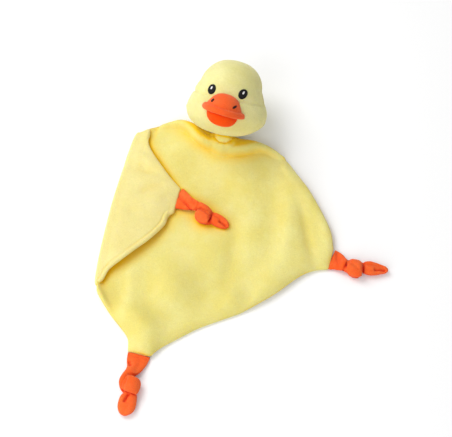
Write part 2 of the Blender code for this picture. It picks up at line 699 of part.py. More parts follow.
def surface_patch(name, at, size, tilt, lift, relief, point_on, made_of, parent, around=14):
    """A domed oval of stitches that follows a surface: point_on gives (point, normal) for a place on it."""
    half_width, half_height = size[0] / 2, size[1] / 2
    lower, upper = [], []
    turn = math.radians(tilt)
    for share in (0.0, 0.5, 0.85, 1.0):
        low_ring, high_ring = [], []
        for k in range(around):
            a = 2 * math.pi * k / around
            x, z = half_width * share * math.cos(a), half_height * share * math.sin(a)
            x, z = x * math.cos(turn) + z * math.sin(turn), z * math.cos(turn) - x * math.sin(turn)
            point, normal = point_on(at[0] + x, at[1] + z)
            low_ring.append(point + normal * lift)
            dome = 0.45 + 0.55 * math.sqrt(max(0.0, 1 - share**2))
            high_ring.append(point + normal * (lift + relief * dome))
        lower.append(low_ring)
        upper.append(high_ring)
    verts = [lower[0][0], upper[0][0]]
    faces = []
    for rings, middle in ((lower[1:], 0), (upper[1:], 1)):
        base = len(verts)
        verts += [p for ring in rings for p in ring]
        for k in range(around):
            j = (k + 1) % around
            faces.append((middle, base + k, base + j))
            for level in range(len(rings) - 1):
                a, b = base + level * around, base + (level + 1) * around
                faces.append((a + k, b + k, b + j, a + j))
    rim_low, rim_high = 2 + 2 * around, 2 + 5 * around
    for k in range(around):
        j = (k + 1) % around
        faces.append((rim_low + k, rim_high + k, rim_high + j, rim_low + j))
    return new_object(name, [tuple(v) for v in verts], faces, made_of, parent)


def surface_reader(obj, frame):
    """A function from (side, up) on the face to the point and outward normal of obj's outside there."""
    graph = bpy.context.evaluated_depsgraph_get()
    tree = BVHTree.FromObject(obj, graph)
    to_world = obj.matrix_world
    side, back, up = (Vector(frame.col[k][:3]) for k in range(3))
    middle = Vector(frame.translation)

    def read(x, z):
        start = middle + side * x + up * z - back * HEAD_WIDTH
        local = to_world.inverted() @ start
        toward = to_world.inverted().to_3x3() @ back
        hit, normal, _, _ = tree.ray_cast(local, toward)
        return to_world @ hit, (to_world.to_3x3() @ normal).normalized()

    return read


def smooth_reader(read, step):
    """Averages the normals of a faceted surface round each place that it reads."""

    def smoothed(x, z):
        point, normal = read(x, z)
        for dx, dz in ((step, 0), (-step, 0), (0, step), (0, -step)):
            normal = normal + read(x + dx, z + dz)[1]
        return point, normal.normalized()

    return smoothed


def tag_mesh():
    """The knotted tag in its own frame: its seam is on the Y axis and it runs out along +X."""
    floor = -(CLOTH + GAP / 2)
    rings = []
    for along, wide, thick in TAG_SECTION_SHARES:
        azimuth = np.linspace(0, 2 * math.pi, TAG_ROUND_COUNT, endpoint=False)
        half_width = wide * TAG_WIDTH
        half_thick = thick * TAG_THICKNESS / 2
        middle = floor + half_thick + GAP
        x = np.full(TAG_ROUND_COUNT, GAP + along * TAG_LENGTH)
        y = half_width * np.sign(np.cos(azimuth)) * np.abs(np.cos(azimuth)) ** 0.8
        z = middle + half_thick * np.sign(np.sin(azimuth)) * np.abs(np.sin(azimuth)) ** 0.8
        rings.append(np.stack([x, y, z], axis=1))
    return ringed(rings)


def wrap_mesh():
    """The strand of the knot that goes round the tag."""
    floor = -(CLOTH + GAP / 2)
    across, above = WRAP_WIDTH / 2 - WRAP_STRAND, WRAP_HEIGHT / 2 - WRAP_STRAND / 2
    verts, faces = torus(across, above, WRAP_STRAND, *WRAP_COUNTS)
    upright = Matrix.Rotation(math.pi / 2, 4, "Y") @ Matrix.Rotation(math.pi / 2, 4, "Z")
    slanted = Matrix.Rotation(math.radians(WRAP_TILT), 4, "Z")
    height = floor + GAP + WRAP_HEIGHT / 2 + WRAP_STRAND / 2
    place = Matrix.Translation((GAP + WRAP_PLACE_SHARE * TAG_LENGTH, 0, height))
    return in_frame(verts, place @ slanted @ upright), faces


def build_tag(name, place, heading, height, parent, orange):
    turn = Matrix.Rotation(math.radians(heading), 4, "Z")
    middle = plan(place)
    turn.translation = (middle[0], middle[1], height)
    hinge = new_empty(name + "_seam", turn @ Matrix.Translation((0, 0, CLOTH + GAP)), parent)
    tag = new_object(name, *solid_in(turn, tag_mesh()), orange, hinge)
    wrap = new_object(name + "_wrap", *solid_in(turn, wrap_mesh()), None, hinge)
    hide_helper(wrap)
    join_solid(tag, wrap, "knot")
    return hinge


def centre_on_table(root):
    """Moves the whole part so that its box stands on z = 0 with its middle on the origin."""
    bpy.context.view_layer.update()
    graph = bpy.context.evaluated_depsgraph_get()
    low, high = np.full(3, np.inf), np.full(3, -np.inf)
    for obj in bpy.data.objects:
        if obj.type == "MESH" and not obj.hide_render:
            shown = obj.evaluated_get(graph)
            corners = np.array([shown.matrix_world @ v.co for v in shown.data.vertices])
            low, high = np.minimum(low, corners.min(0)), np.maximum(high, corners.max(0))
    root.location = (-(low[0] + high[0]) / 2, -(low[1] + high[1]) / 2, -low[2])
    bpy.context.view_layer.update()
    print("box, mm:", np.round((high - low) / MM, 2), "moved by", np.round(np.array(root.location) / MM, 3))


def main():
    clear_scene()
    yellow = material("velour_yellow", VELOUR_YELLOW)
    head_yellow = material("head_yellow", HEAD_YELLOW)
    orange = material("velour_orange", VELOUR_ORANGE)
    bright_orange = material("bright_orange", BRIGHT_ORANGE)
    fibrefill = material("fibrefill", FIBREFILL_WHITE)
    black = material("thread_black", THREAD_BLACK)
    white = material("thread_white", THREAD_WHITE)
    brown = material("thread_brown", THREAD_BROWN)

    root = new_empty("toy", Matrix.Identity(4))
    frame, neck = head_place()
    at_neck = frame.copy()
    at_neck.translation = neck
    neck_pivot = new_empty("neck_pivot", at_neck, root)
    head_pivot = new_empty("head_pivot", at_neck, neck_pivot)

    cloth = LaidCloth(frame, neck)
    build_blanket(cloth, neck, root, yellow)
    fold_top, fold_bottom = plan(FOLD_TOP_SHARES), plan(FOLD_BOTTOM_SHARES)
    fold_middle = (fold_top + fold_bottom) / 2
    fold_heading = math.atan2(*(fold_top - fold_bottom)[::-1])
    fold_frame = Matrix.Rotation(fold_heading, 4, "Z")
    fold_frame.translation = (*fold_middle, 2 * CLOTH + GAP + GAP / 2)
    fold_axis = new_empty("corner_fold_axis", fold_frame, root)
    build_flap(cloth, fold_axis, yellow)

    hole = solid_in(at_neck, ringed(sphere_rings(NECK_RADIUS + SURFACE_GAP)))
    cutter = new_object("neck_cutter", *hole, None, head_pivot)
    hide_helper(cutter)
    build_head(frame, head_pivot, cutter, head_yellow, fibrefill)
    build_neck(frame, neck, neck_pivot, yellow, yellow)

    face = solid_in(frame, ringed(head_rings(SURFACE_GAP, FACE_CUTTER_COUNTS)))
    face_cutter = new_object("face_cutter", *face, None, head_pivot)
    hide_helper(face_cutter)
    mouth = frame.copy()
    mouth.translation = frame @ Vector((0, BILL_SEAT - HEAD_DEPTH / 2, -MOUTH_DROP))
    upper = (UPPER_BILL_WIDTH, UPPER_BILL_REACH, UPPER_BILL_HEIGHT)
    lower = (LOWER_BILL_WIDTH, LOWER_BILL_REACH, LOWER_BILL_HEIGHT)
    tables = (UPPER_BILL_SHARES, UPPER_HOLLOW_SHARES)
    build_bill("beak_upper", mouth, upper, *tables, 1, head_pivot, face_cutter, (orange, fibrefill))
    tables = (LOWER_BILL_SHARES, LOWER_HOLLOW_SHARES)
    build_bill("beak_lower", mouth, lower, *tables, -1, head_pivot, face_cutter, (bright_orange, fibrefill))

    bpy.context.view_layer.update()
    face = solid_in(frame, ringed(head_rings(0.0, FACE_SKIN_COUNTS)))
    skin = new_object("face_skin", *face, None, head_pivot)
    hide_helper(skin)
    bpy.context.view_layer.update()
    on_face = smooth_reader(surface_reader(skin, frame), HIGHLIGHT_WIDTH)
    on_bill = smooth_reader(surface_reader(bpy.data.objects["beak_upper"], frame), NOSTRIL_WIDTH)
    for label, way in (("left", -1), ("right", 1)):
        eye = (way * EYE_SPACING / 2, EYE_RISE)
        surface_patch(
            label + "_eye", eye, (EYE_WIDTH, EYE_HEIGHT), EYE_TILT, SURFACE_GAP, EMBROIDERY,
            on_face, black, head_pivot,
        )
        shine = (eye[0], eye[1] + HIGHLIGHT_RISE)
        surface_patch(
            label + "_eye_highlight", shine, (HIGHLIGHT_WIDTH, HIGHLIGHT_HEIGHT), EYE_TILT,
            SURFACE_GAP + EMBROIDERY + GAP, HIGHLIGHT_RELIEF, on_face, white, head_pivot, 10,
        )
        across = way * NOSTRIL_SPREAD_SHARE * UPPER_BILL_WIDTH / 2
        nostril = (across, NOSTRIL_RISE_SHARE * UPPER_BILL_HEIGHT - MOUTH_DROP)
        surface_patch(
            label + "_nostril", nostril, (NOSTRIL_WIDTH, NOSTRIL_LENGTH), NOSTRIL_TILT,
            SURFACE_GAP, NOSTRIL_RELIEF, on_bill, brown, head_pivot, 10,
        )

    seam_height = CLOTH + GAP / 2
    build_tag("bottom_tag", BOTTOM_CORNER_SHARES, BOTTOM_TAG_HEADING, seam_height, root, orange)
    build_tag("right_tag", RIGHT_CORNER_SHARES, RIGHT_TAG_HEADING, seam_height, root, orange)
    tip_height = cloth.top(*plan(FLAP_TIP_SHARES)) + GAP + seam_height
    build_tag("left_tag", FLAP_TIP_SHARES, LEFT_TAG_HEADING, tip_height, fold_axis, orange)
    centre_on_table(root)


main()
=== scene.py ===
"""Duck comfort blanket: velour cloth, stuffed head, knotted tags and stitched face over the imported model.

Lengths are in metres, in the model's frame: X to the right tag, Y towards the head, Z up from the table.
"""

import json
import math

import bmesh
import bpy
import numpy as np
from mathutils import Matrix, Vector, noise
from mathutils.bvhtree import BVHTree


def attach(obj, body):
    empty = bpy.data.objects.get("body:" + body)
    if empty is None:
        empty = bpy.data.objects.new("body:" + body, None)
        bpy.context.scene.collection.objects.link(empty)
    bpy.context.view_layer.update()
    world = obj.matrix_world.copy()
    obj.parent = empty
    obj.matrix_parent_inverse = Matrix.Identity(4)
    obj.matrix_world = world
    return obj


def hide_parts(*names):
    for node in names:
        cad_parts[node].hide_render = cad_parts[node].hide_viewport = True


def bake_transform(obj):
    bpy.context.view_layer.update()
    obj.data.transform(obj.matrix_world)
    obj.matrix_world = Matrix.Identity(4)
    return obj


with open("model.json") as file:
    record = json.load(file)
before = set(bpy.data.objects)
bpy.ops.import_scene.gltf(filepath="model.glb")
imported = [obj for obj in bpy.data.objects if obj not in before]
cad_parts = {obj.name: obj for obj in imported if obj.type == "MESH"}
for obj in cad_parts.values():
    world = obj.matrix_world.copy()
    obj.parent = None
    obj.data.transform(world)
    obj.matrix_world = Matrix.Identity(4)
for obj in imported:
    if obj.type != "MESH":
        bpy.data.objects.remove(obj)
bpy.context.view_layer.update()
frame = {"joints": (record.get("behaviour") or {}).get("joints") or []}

MM = 0.001

# The photograph's view, aimed at a place on the table
IMAGE_WIDTH = 452
FOCAL_PIXELS = 1045.45
SENSOR = 36.0
VIEW_ELEVATION = 63.0
VIEW_DISTANCE = 1.15

# Blanket as it is cut and laid: places in plan are shares of its side, from the middle of the view
SIDE = 250 * MM
LAYERS = 4.3 * MM
GAP = 0.3 * MM
EDGE_RADIUS = 5.0 * MM
NECK_SHARES = (-0.008, 0.376)
FOLD_SHARES = (
    (-0.545, -0.33), (-0.545, -0.29), (-0.534, -0.19), (-0.516, -0.075), (-0.492, 0.06), (-0.462, 0.19),
    (-0.43, 0.32), (-0.412, 0.385), (-0.396, 0.424),
)
LOWER_LEFT_SHARES = (
    (-0.544, -0.365), (-0.522, -0.405), (-0.49, -0.452), (-0.462, -0.49), (-0.434, -0.525),
    (-0.408, -0.565),
)
BOTTOM_CORNER_SHARES = (-0.358, -0.635)
BOTTOM_EDGE_SHARES = (
    (-0.27, -0.608), (-0.2, -0.566), (-0.115, -0.52), (-0.01, -0.479), (0.063, -0.451), (0.165, -0.395),
    (0.225, -0.355), (0.285, -0.308), (0.331, -0.277), (0.385, -0.256),
)
RIGHT_CORNER_SHARES = (0.452, -0.204)
RIGHT_EDGE_SHARES = (
    (0.455, -0.08), (0.425, 0.004), (0.37, 0.122), (0.323, 0.201), (0.272, 0.282), (0.18, 0.35),
)
LEFT_SHOULDER_SHARES = ((-0.182, 0.476), (-0.255, 0.474), (-0.309, 0.456), (-0.35, 0.44))
FLAP_UPPER_SHARES = (
    (-0.375, 0.431), (-0.35, 0.435), (-0.344, 0.405), (-0.35, 0.362), (-0.322, 0.298), (-0.257, 0.2),
)
FLAP_LOWER_SHARES = (
    (-0.521, -0.31), (-0.496, -0.266), (-0.442, -0.221), (-0.391, -0.178), (-0.329, -0.126),
    (-0.268, -0.055), (-0.251, -0.01),
)
FLAP_TIP_SHARES = (-0.209, 0.09)
FLAP_EDGE_SHARES = ((-0.2, 0.131), (-0.226, 0.013))
BOTTOM_TAG_HEADING = 256.0
RIGHT_TAG_HEADING = -14.0
LEFT_TAG_HEADING = -30.0
NECK_NOTCH = (155.0, 385.0)
NECK_TUCK = 3 * MM

# The blanket's grid: points of each run of its edge, rows out from the neck, and where the rows crowd
FOLD_COUNT = 44
LOWER_LEFT_COUNT = 26
TAG_EDGE_COUNT = 8
BOTTOM_EDGE_COUNT = 60
EDGE_CROWDING = 0.2
ROW_COUNT = 92
COLLAR_ROWS = 44
ROW_CROWDING = ((0.10, 0.10, 2.2), (1.0, 0.06, 2.0))
CURVE_STEPS = 24
CROWDING_STEPS = 400
RIDGE_STEPS = 60
LAID_ROUNDS = 3
COLLAR_ROUNDS = 4

# Relief of the laid cloth: the places of a path each have a share of the ridge's height
COLLAR_HEIGHT = 17.5 * MM
COLLAR_REACHES = (24 * MM, 2.4 * MM)
COLLAR_SKIRT_REACHES = (24 * MM, 18 * MM)
COLLAR_SKIRT_SHARE = 0.26
COLLAR_SHARES = (
    (-0.3, 0.452, 0.4), (-0.255, 0.462, 0.55), (-0.21, 0.46, 0.72), (-0.16, 0.434, 0.88),
    (-0.12, 0.387, 0.97), (-0.083, 0.36, 1.0), (-0.042, 0.342, 1.0), (-0.006, 0.328, 1.0),
    (0.026, 0.319, 1.0), (0.056, 0.321, 1.0), (0.09, 0.326, 0.95), (0.13, 0.335, 0.85), (0.18, 0.332, 0.65),
    (0.24, 0.3, 0.45),
)
COLLAR_CREASE_DEPTH = 2.5 * MM
COLLAR_CREASE_REACHES = (2.4 * MM, 2.4 * MM)
COLLAR_CREASE_SHARES = (
    (-0.125, 0.425, 0.3), (-0.092, 0.395, 0.9), (-0.062, 0.374, 0.6), (-0.048, 0.362, 0.2),
)
COLLAR_LEAN = 1.5 * MM
LEAN_REACHES = (9 * MM, 16 * MM)
LEAN_EDGE = 12 * MM
LEAN_START = 3 * MM
LEAN_RISE = 13 * MM
NECK_RISE = 19 * MM
NECK_RISE_REACH = 5.0 * MM
NECK_EASE = 5 * MM
PLEAT_DEPTH = 0.25 * MM
PLEAT_REACH = 6 * MM
PLEATS_ROUND = 11
SWELL_HEIGHT = 1.0 * MM
SWELLS_IN_METRE = 38
SWELL_SEED = 0.3
SWELL_BASE = 0.3
SUNK_EDGE_SHARE = 0.8
SUNK_EDGE_REACH = 7 * MM
EDGE_PUFF = 1.8 * MM
PUFF_START = 6 * MM
PUFF_REACH = 26 * MM
PUFF_NECK_REACH = 22 * MM

# Soft swells: place, reach across and up as shares of the side, and rise in mm
DOME_FALL = 1.6
DOMES = (
    (-0.225, -0.34, 0.12, 0.14, 10.0), (-0.205, 0.33, 0.085, 0.09, 4.0), (0.01, -0.39, 0.07, 0.06, 4.5),
    (-0.06, -0.13, 0.11, 0.2, 3.0), (0.12, -0.06, 0.12, 0.23, 4.0), (0.09, 0.19, 0.11, 0.11, 3.0),
)

# Ridges and valleys: rise in mm, reach to the left and right as shares of the side, and path
RIDGES = (
    (6.5, 0.1, 0.045, (
        (0.275, 0.16, 0.6), (0.283, 0.104, 0.9), (0.272, -0.044, 1.0), (0.245, -0.212, 0.9),
        (0.152, -0.34, 0.5),
    )),
    (5.0, 0.04, 0.045, (
        (0.33, 0.185, 0.4), (0.38, 0.095, 0.8), (0.43, -0.01, 1.0), (0.458, -0.09, 1.0),
        (0.462, -0.17, 0.6),
    )),
    (8.0, 0.055, 0.04, (
        (-0.43, -0.44, 0.5), (-0.37, -0.48, 1.0), (-0.33, -0.53, 1.0), (-0.335, -0.595, 0.7),
    )),
    (3.2, 0.06, 0.018, (
        (-0.388, -0.225, 0.3), (-0.405, -0.285, 0.9), (-0.401, -0.352, 1.0), (-0.414, -0.433, 1.0),
        (-0.449, -0.495, 0.5),
    )),
    (-4.0, 0.02, 0.02, (
        (-0.495, -0.275, 0.5), (-0.472, -0.31, 1.0), (-0.455, -0.361, 1.0), (-0.455, -0.411, 0.9),
        (-0.475, -0.451, 0.4),
    )),
    (8.5, 0.013, 0.028, (
        (-0.552, -0.27, 1.0), (-0.545, -0.33, 1.0), (-0.522, -0.385, 0.9), (-0.497, -0.43, 0.4),
    )),
    (3.0, 0.022, 0.04, ((-0.35, 0.452, 1.0), (-0.352, 0.405, 0.9), (-0.372, 0.35, 0.4))),
    (-2.6, 0.016, 0.016, (
        (0.318, 0.065, 0.2), (0.335, 0.0, 0.7), (0.35, -0.09, 1.0), (0.365, -0.17, 1.0),
        (0.385, -0.235, 0.6),
    )),
    (-2.0, 0.03, 0.03, ((0.045, 0.0, 0.4), (0.04, -0.12, 1.0), (0.01, -0.3, 1.0), (-0.01, -0.39, 0.8))),
)
BESIDE_FLAP_RISE = 3.4 * MM
BESIDE_FLAP_REACH = (26 * MM, 3.0 * MM)
BESIDE_FLAP_SHARES = (
    (-0.325, 0.385, 0.5), (-0.332, 0.355, 0.8), (-0.306, 0.302, 1.0), (-0.243, 0.206, 1.0),
    (-0.19, 0.13, 0.6),
)

# How the cloth clears the head and follows the neck, in metres and degrees
MOTION_GAP = 0.6 * MM
NODS = (0, 12, 24, 35)
TURNS = (-30, 0, 30)
CLEAR_REACH = 75 * MM
CLEAR_ROUNDS = 7
NECK_BLEND = (9 * MM, 22 * MM)
NECK_BLEND_SLANT = 0.8 * MM

# Folded corner: counts of its grid with how far they crowd, its bend, its hem and its wrinkles
FLAP_COLUMNS = (64, 0.7)
FLAP_ROWS = (72, 0.4)
FLAP_EDGE_RADIUS = 3.2 * MM
FLAP_SEAM_EASE = 1.5
FLAP_ARCH = 4 * MM
FLAP_LIFT = 2.5 * MM
FLAP_LIFT_SHARES = (1.2, 0.5)
FLAP_ROUNDS = 2
NEED_ROUNDS = 8
BEND_HEIGHT = 10.4 * MM
BEND_COUNT = 15
BEND_DEPTH_SHARE = 0.8
BEND_SHIFT_SHARE = 0.4
BEND_SHIFT_REACH = 10 * MM
BEND_HOLD = 3 * MM
BEND_REACH = 14 * MM
BEND_ARCH_SHARE = 0.6
BEND_CLEAR = 5 * MM
HEM_WIDTH = 5.4 * MM
HEM_GROOVE = (-0.9 * MM, 0.9 * MM)
HEM_ROLL = (0.25 * MM, 1.5 * MM)
HEM_ROLL_SHARE = 0.55
HEM_FADE = 16 * MM

# Rise in mm, reach as a share of the side, and path
WRINKLES = (
    (-3.0, 0.02, ((-0.44, 0.245, 0.3), (-0.395, 0.24, 1.0), (-0.345, 0.215, 0.8), (-0.3, 0.2, 0.3))),
    (2.0, 0.024, ((-0.43, 0.29, 0.3), (-0.385, 0.285, 1.0), (-0.34, 0.262, 0.6))),
    (-2.6, 0.02, ((-0.395, 0.1, 0.3), (-0.35, 0.118, 1.0), (-0.29, 0.138, 0.5))),
    (2.5, 0.04, ((-0.36, 0.06, 0.4), (-0.31, 0.068, 1.0), (-0.26, 0.08, 0.6))),
    (-2.0, 0.024, ((-0.46, 0.03, 0.2), (-0.41, 0.01, 1.0), (-0.36, 0.0, 0.2))),
)

# Head, in its own axes: X to its side, Y into its face from the front, Z up through its crown. From the crown
# down, each level has shares of half the head's sizes, and how far it leans aside in mm
HEAD_WIDTH = 92 * MM
HEAD_HEIGHT = 86 * MM
HEAD_DEPTH = 78 * MM
HEAD_REST_HEIGHT = 18 * MM
NECK_SINK = 5 * MM
NECK_RADIUS = 11 * MM
HEAD_WIDTH_SHARES = (0.0, 0.293, 0.522, 0.683, 0.772, 0.861, 0.939, 0.983, 0.987, 0.87, 0.674, 0.391, 0.0)
HEAD_DEPTH_SHARES = (0.0, 0.36, 0.62, 0.82, 0.93, 0.97, 1.0, 1.0, 0.97, 0.88, 0.7, 0.42, 0.0)
HEAD_LEVEL_SHARES = (
    1.04, 0.99, 0.849, 0.628, 0.372, 0.14, -0.07, -0.244, -0.419, -0.616, -0.779, -0.888, -0.935,
)
HEAD_LEAN = (-2.8, -2.6, -2.4, -2.6, -3.0, -2.8, -2.2, -2.0, -2.8, -4.2, -4.6, -4.2, -4.0)
HEAD_CELLS = 26
ROOM_CELLS = 10
UNFILLED_SHARE = 0.985
FILL_PRESSURE = 5.0
FILL_SLACK = 0.02
FILL_CAP = 3 * MM
FILL_SCALE = 6.0
FILL_STEPS = 20
CHEEK_SEAM_SLOPE = 0.072
SEAM_HOLD = 2.0 * MM
SEAM_GROOVES = ((0.9 * MM, 0.9 * MM), (0.5 * MM, 3.0 * MM))
PUCKER_DEPTH = 0.22 * MM
PUCKER_PITCH = 0.62 * MM
PUCKER_PLACE = 2.2 * MM
PUCKER_REACH = 1.6 * MM

# Beak: width, reach and height of each bill, and its profile in shares of its reach and height
MOUTH_DROP = 14.4 * MM
BILL_SEAT = 6 * MM
MOUTH_GAP = 0.4 * MM
MOUTH_SHIFT = -1.4 * MM
MOUTH_ROLL = 5.0
BILL_COUNTS = (44, 72)
BILL_LIP_SHARE = 0.45
BILL_FLARE = (0.04, 6)
BILL_CURL = (1.2 * MM, 8)
UPPER_BILL = (47 * MM, 27 * MM, 21.5 * MM)
UPPER_CORNERS = 0.25
UPPER_BILL_SHARES = (
    (0.02, 1.0), (0.22, 0.985), (0.42, 0.91), (0.57, 0.78), (0.69, 0.62), (0.77, 0.47), (0.815, 0.36),
    (0.83, 0.285), (0.87, 0.265), (0.94, 0.24), (0.99, 0.16), (1.0, 0.05), (0.98, -0.035), (0.93, -0.045),
    (0.875, 0.0), (0.5, 0.0), (0.2, 0.0),
)
LOWER_BILL = (34 * MM, 22 * MM, 14 * MM)
LOWER_CORNERS = 0.0
LOWER_BILL_SHARES = (
    (0.02, 1.0), (0.34, 0.96), (0.64, 0.83), (0.86, 0.6), (0.97, 0.36), (1.0, 0.14), (0.97, 0.02),
    (0.7, 0.0), (0.4, 0.0),
)

# Stitched face: ovals as width and height, tilt in degrees, stand-off, dome and pitch of the stitches
EYE_SPACING = 34 * MM
EYE_SHIFT = -1.3 * MM
EYE_RISE = (8.6 * MM, 10.4 * MM)
EYE = ((8.8 * MM, 11.4 * MM), 15.0, 0.3 * MM, 0.9 * MM, 0.55 * MM)
HIGHLIGHT = ((1.9 * MM, 3.8 * MM), 15.0, 1.1 * MM, 0.6 * MM, 0.45 * MM)
HIGHLIGHT_RISE = 1.3 * MM
NOSTRIL = ((2.5 * MM, 4.6 * MM), 35.0, 0.2 * MM, 0.6 * MM, 0.5 * MM)
NOSTRIL_SPREAD_SHARE = 0.53
NOSTRIL_RISE_SHARE = 0.51
LARGE_OVAL = 5 * MM
OVAL_COUNTS = (19, 33)
STITCH_RELIEF = 0.10 * MM
STITCH_SLANT = 0.25
STITCH_DEPTH = 0.6 * MM
DOME_POWER = 0.7
NORMAL_REACH = 1 * MM

# Gathered neck and the thread round it: pleats as depth and how many go round
NECK_COUNTS = (40, 96)
NECK_ENDS = (4, 176)
WAIST_DEPTH = 1.9 * MM
WAIST_REACH = 0.16
NECK_PLEATS = ((0.4 * MM, 9), (0.3 * MM, 5))
THREAD_TURNS = 3
THREAD_COUNTS = (48, 8)
THREAD_PITCH = 0.9 * MM
THREAD_RADIUS = 0.5 * MM
THREAD_STAND_OFF = 0.1 * MM

# Tags
TAG_WIDTH = 24 * MM
TAG_STATIONS = 150
TAG_SIDES = 44
TAG_SQUARENESS = 0.88
TAG_PUCKER = (0.25 * MM, 1.5 * MM, 3.0 * MM)
TAG_PUCKER_PLACE = 2.4 * MM
CREASE_LIMIT_SHARE = 0.8
CREASE_TOP = 0.1

# Routes of the knotted tubes from their seams, in mm and degrees: along, aside, up, half width, half
# thickness and how far the flat side leans over. Creases on the top: from, to, depth and width
BOTTOM_TAG = (
    (0, 0, 2.15, 12.0, 1.7, 0), (8, 0, 2.5, 10.8, 2.3, 0), (15, -0.6, 3.6, 8.4, 3.2, 0),
    (21, -2.6, 5.2, 6.2, 4.2, 0), (27, -5.6, 6.2, 5.0, 4.6, -15), (32.5, -6.4, 5.8, 5.0, 4.4, -15),
    (37.5, -3.0, 4.4, 5.4, 3.0, 0), (39, 3.0, 3.4, 6.0, 2.4, 30), (37.5, 7.6, 4.4, 7.0, 2.6, 80),
    (36, 9.0, 7.2, 7.8, 2.7, 85), (35, 6.6, 10.0, 8.4, 2.8, 35), (34.4, 2.2, 11.2, 8.6, 2.9, 0),
    (33.6, -2.4, 10.2, 8.2, 2.8, -30), (32.4, -5.0, 7.8, 7.0, 2.6, -60), (34, -4.4, 5.4, 5.0, 2.6, -30),
    (37, -1.0, 5.2, 4.6, 3.0, 0), (41, 1.8, 5.4, 5.8, 3.6, 0), (45, 2.9, 5.2, 8.0, 4.2, 0),
    (51, 3.0, 4.8, 9.2, 4.5, 0), (57, 3.4, 4.6, 9.0, 4.3, 0), (61.5, 4.0, 4.3, 7.2, 3.7, 0),
    (64, 4.6, 4.1, 4.6, 2.8, 0), (65.2, 5.0, 4.0, 1.6, 1.3, 0),
)
BOTTOM_CREASES = (
    ((45, 2.4), (52, 0.4), 3.4, 1.3), ((10.5, -7.0), (13.5, -5.0), 2.4, 1.7),
    ((24, -3), (23.5, 5), 1.6, 1.8), ((6, 4), (18, 3), 0.9, 2.4), ((27, -4), (41, -4.5), 1.6, 1.3),
    ((3, -9), (3, 9), 0.7, 1.2), ((54, 6), (62, 3), 0.6, 2.0),
)
RIGHT_TAG = (
    (0, 0.5, 2.15, 12.2, 1.7, 0), (6, -0.8, 2.6, 11.0, 2.3, 0), (11, -3.0, 4.4, 8.8, 3.6, 0),
    (15.5, -4.8, 6.6, 6.8, 4.8, 0), (20, -6.4, 6.0, 6.0, 4.6, 0), (26, -8.6, 4.8, 5.6, 3.4, -20),
    (29, -11.6, 4.8, 6.4, 2.8, -70), (28, -12.8, 7.2, 7.4, 2.8, -85), (27, -10.4, 10.0, 8.4, 3.0, -35),
    (26, -5.8, 11.2, 9.0, 3.1, 0), (25.4, -1.0, 9.8, 8.6, 3.0, 35), (26, 1.6, 7.2, 7.0, 2.8, 70),
    (29, 0.4, 5.2, 5.0, 2.8, 30), (33, -1.2, 5.0, 5.0, 3.4, 0), (37, -1.6, 5.4, 7.0, 4.2, 0),
    (42, -1.2, 5.2, 8.0, 4.6, 0), (48, -0.4, 4.8, 7.2, 4.3, 0), (54, 0.6, 4.5, 5.4, 3.7, 0),
    (59, 1.2, 4.2, 3.8, 2.9, 0), (61.6, 1.4, 4.1, 1.4, 1.3, 0),
)
RIGHT_CREASES = (
    ((48, -2.6), (58, -0.6), 3.0, 1.2), ((38, 1.0), (55, 2.6), 1.5, 1.5),
    ((15.5, -11), (19.5, 2), 2.6, 1.6), ((5, 8), (10, -9), 1.6, 2.0), ((21, -2), (31, -9), 1.2, 2.2),
    ((34.5, 2), (34.5, -9), 2.0, 1.6), ((38, -5), (50, -4.5), 1.0, 1.6),
)
LEFT_TAG = (
    (-2, -1.6, 2.15, 13.6, 1.7, 0), (4, -1.8, 2.6, 12.0, 2.4, 0), (11, -2.0, 3.6, 9.4, 3.3, 0),
    (17, -1.6, 5.0, 7.2, 4.2, 0), (23, -1.2, 6.4, 5.8, 4.6, 0), (29, -0.6, 7.6, 5.2, 4.4, 0),
    (35, -1.2, 7.8, 5.2, 4.2, 0), (40, -3.4, 6.2, 5.4, 3.8, 0), (42, -8.0, 4.4, 6.0, 3.0, -40),
    (40.5, -12.0, 4.6, 7.0, 2.8, -75), (38.5, -13.8, 7.0, 7.8, 2.8, -88), (37, -11.8, 9.4, 8.4, 2.9, -40),
    (36, -7.8, 10.4, 8.6, 2.9, -5), (35.4, -3.6, 9.0, 7.8, 2.8, 30), (36, -1.0, 6.2, 6.0, 2.6, 60),
    (39, -2.4, 5.0, 5.0, 2.8, 20), (43, -3.6, 5.2, 5.6, 3.6, 0), (47, -4.2, 5.2, 6.8, 4.2, 0),
    (52, -4.3, 4.9, 7.2, 4.4, 0), (57.5, -4.4, 4.6, 6.6, 4.2, 0), (62, -4.8, 4.3, 5.2, 3.6, 0),
    (65, -5.2, 4.1, 3.2, 2.6, 0), (66.2, -5.4, 4.0, 1.2, 1.2, 0),
)
LEFT_CREASES = (
    ((1, 0.5), (20, -7.5), 3.2, 1.5), ((56, -5.6), (64.5, -6.2), 3.2, 1.3),
    ((46, -2.0), (60, -3.2), 1.4, 1.5), ((24.5, 3), (27, -7), 1.4, 1.6), ((44, 0), (44.5, -9), 1.8, 1.5),
    ((29, -3.5), (43, -5.5), 2.0, 1.5), ((16, 3), (22, -1), 1.2, 1.6),
)

# Pile and thread
PILE_GLOW = 0.25
GLOW_DEPTH = 5 * MM
# How far ambient occlusion looks for the folds where shade is painted into the velour's colour
FOLD_SHADE_REACH = 14 * MM
PATCH_SCALE = 34
FIBRE_SCALE = 1400
SOFT_SCALE = 130
SOFT_RELIEF = 1.2 * MM
NAP_RELIEF = 0.35 * MM
STRAND_SCALE = 2200
STRAND_RELIEF = 0.1 * MM

# Floor and lamps: a lamp's name, place, width and power
FLOOR_REACH = 4.0
FLOOR_TONE = 0.93
FLOOR_LIFT = 0.06
SKY_STRENGTH = 0.5
LAMPS = (("key", (-0.80, 0.62, 1.20), 1.0, 14.6), ("fill", (-0.75, -1.15, 0.80), 1.5, 13.0))

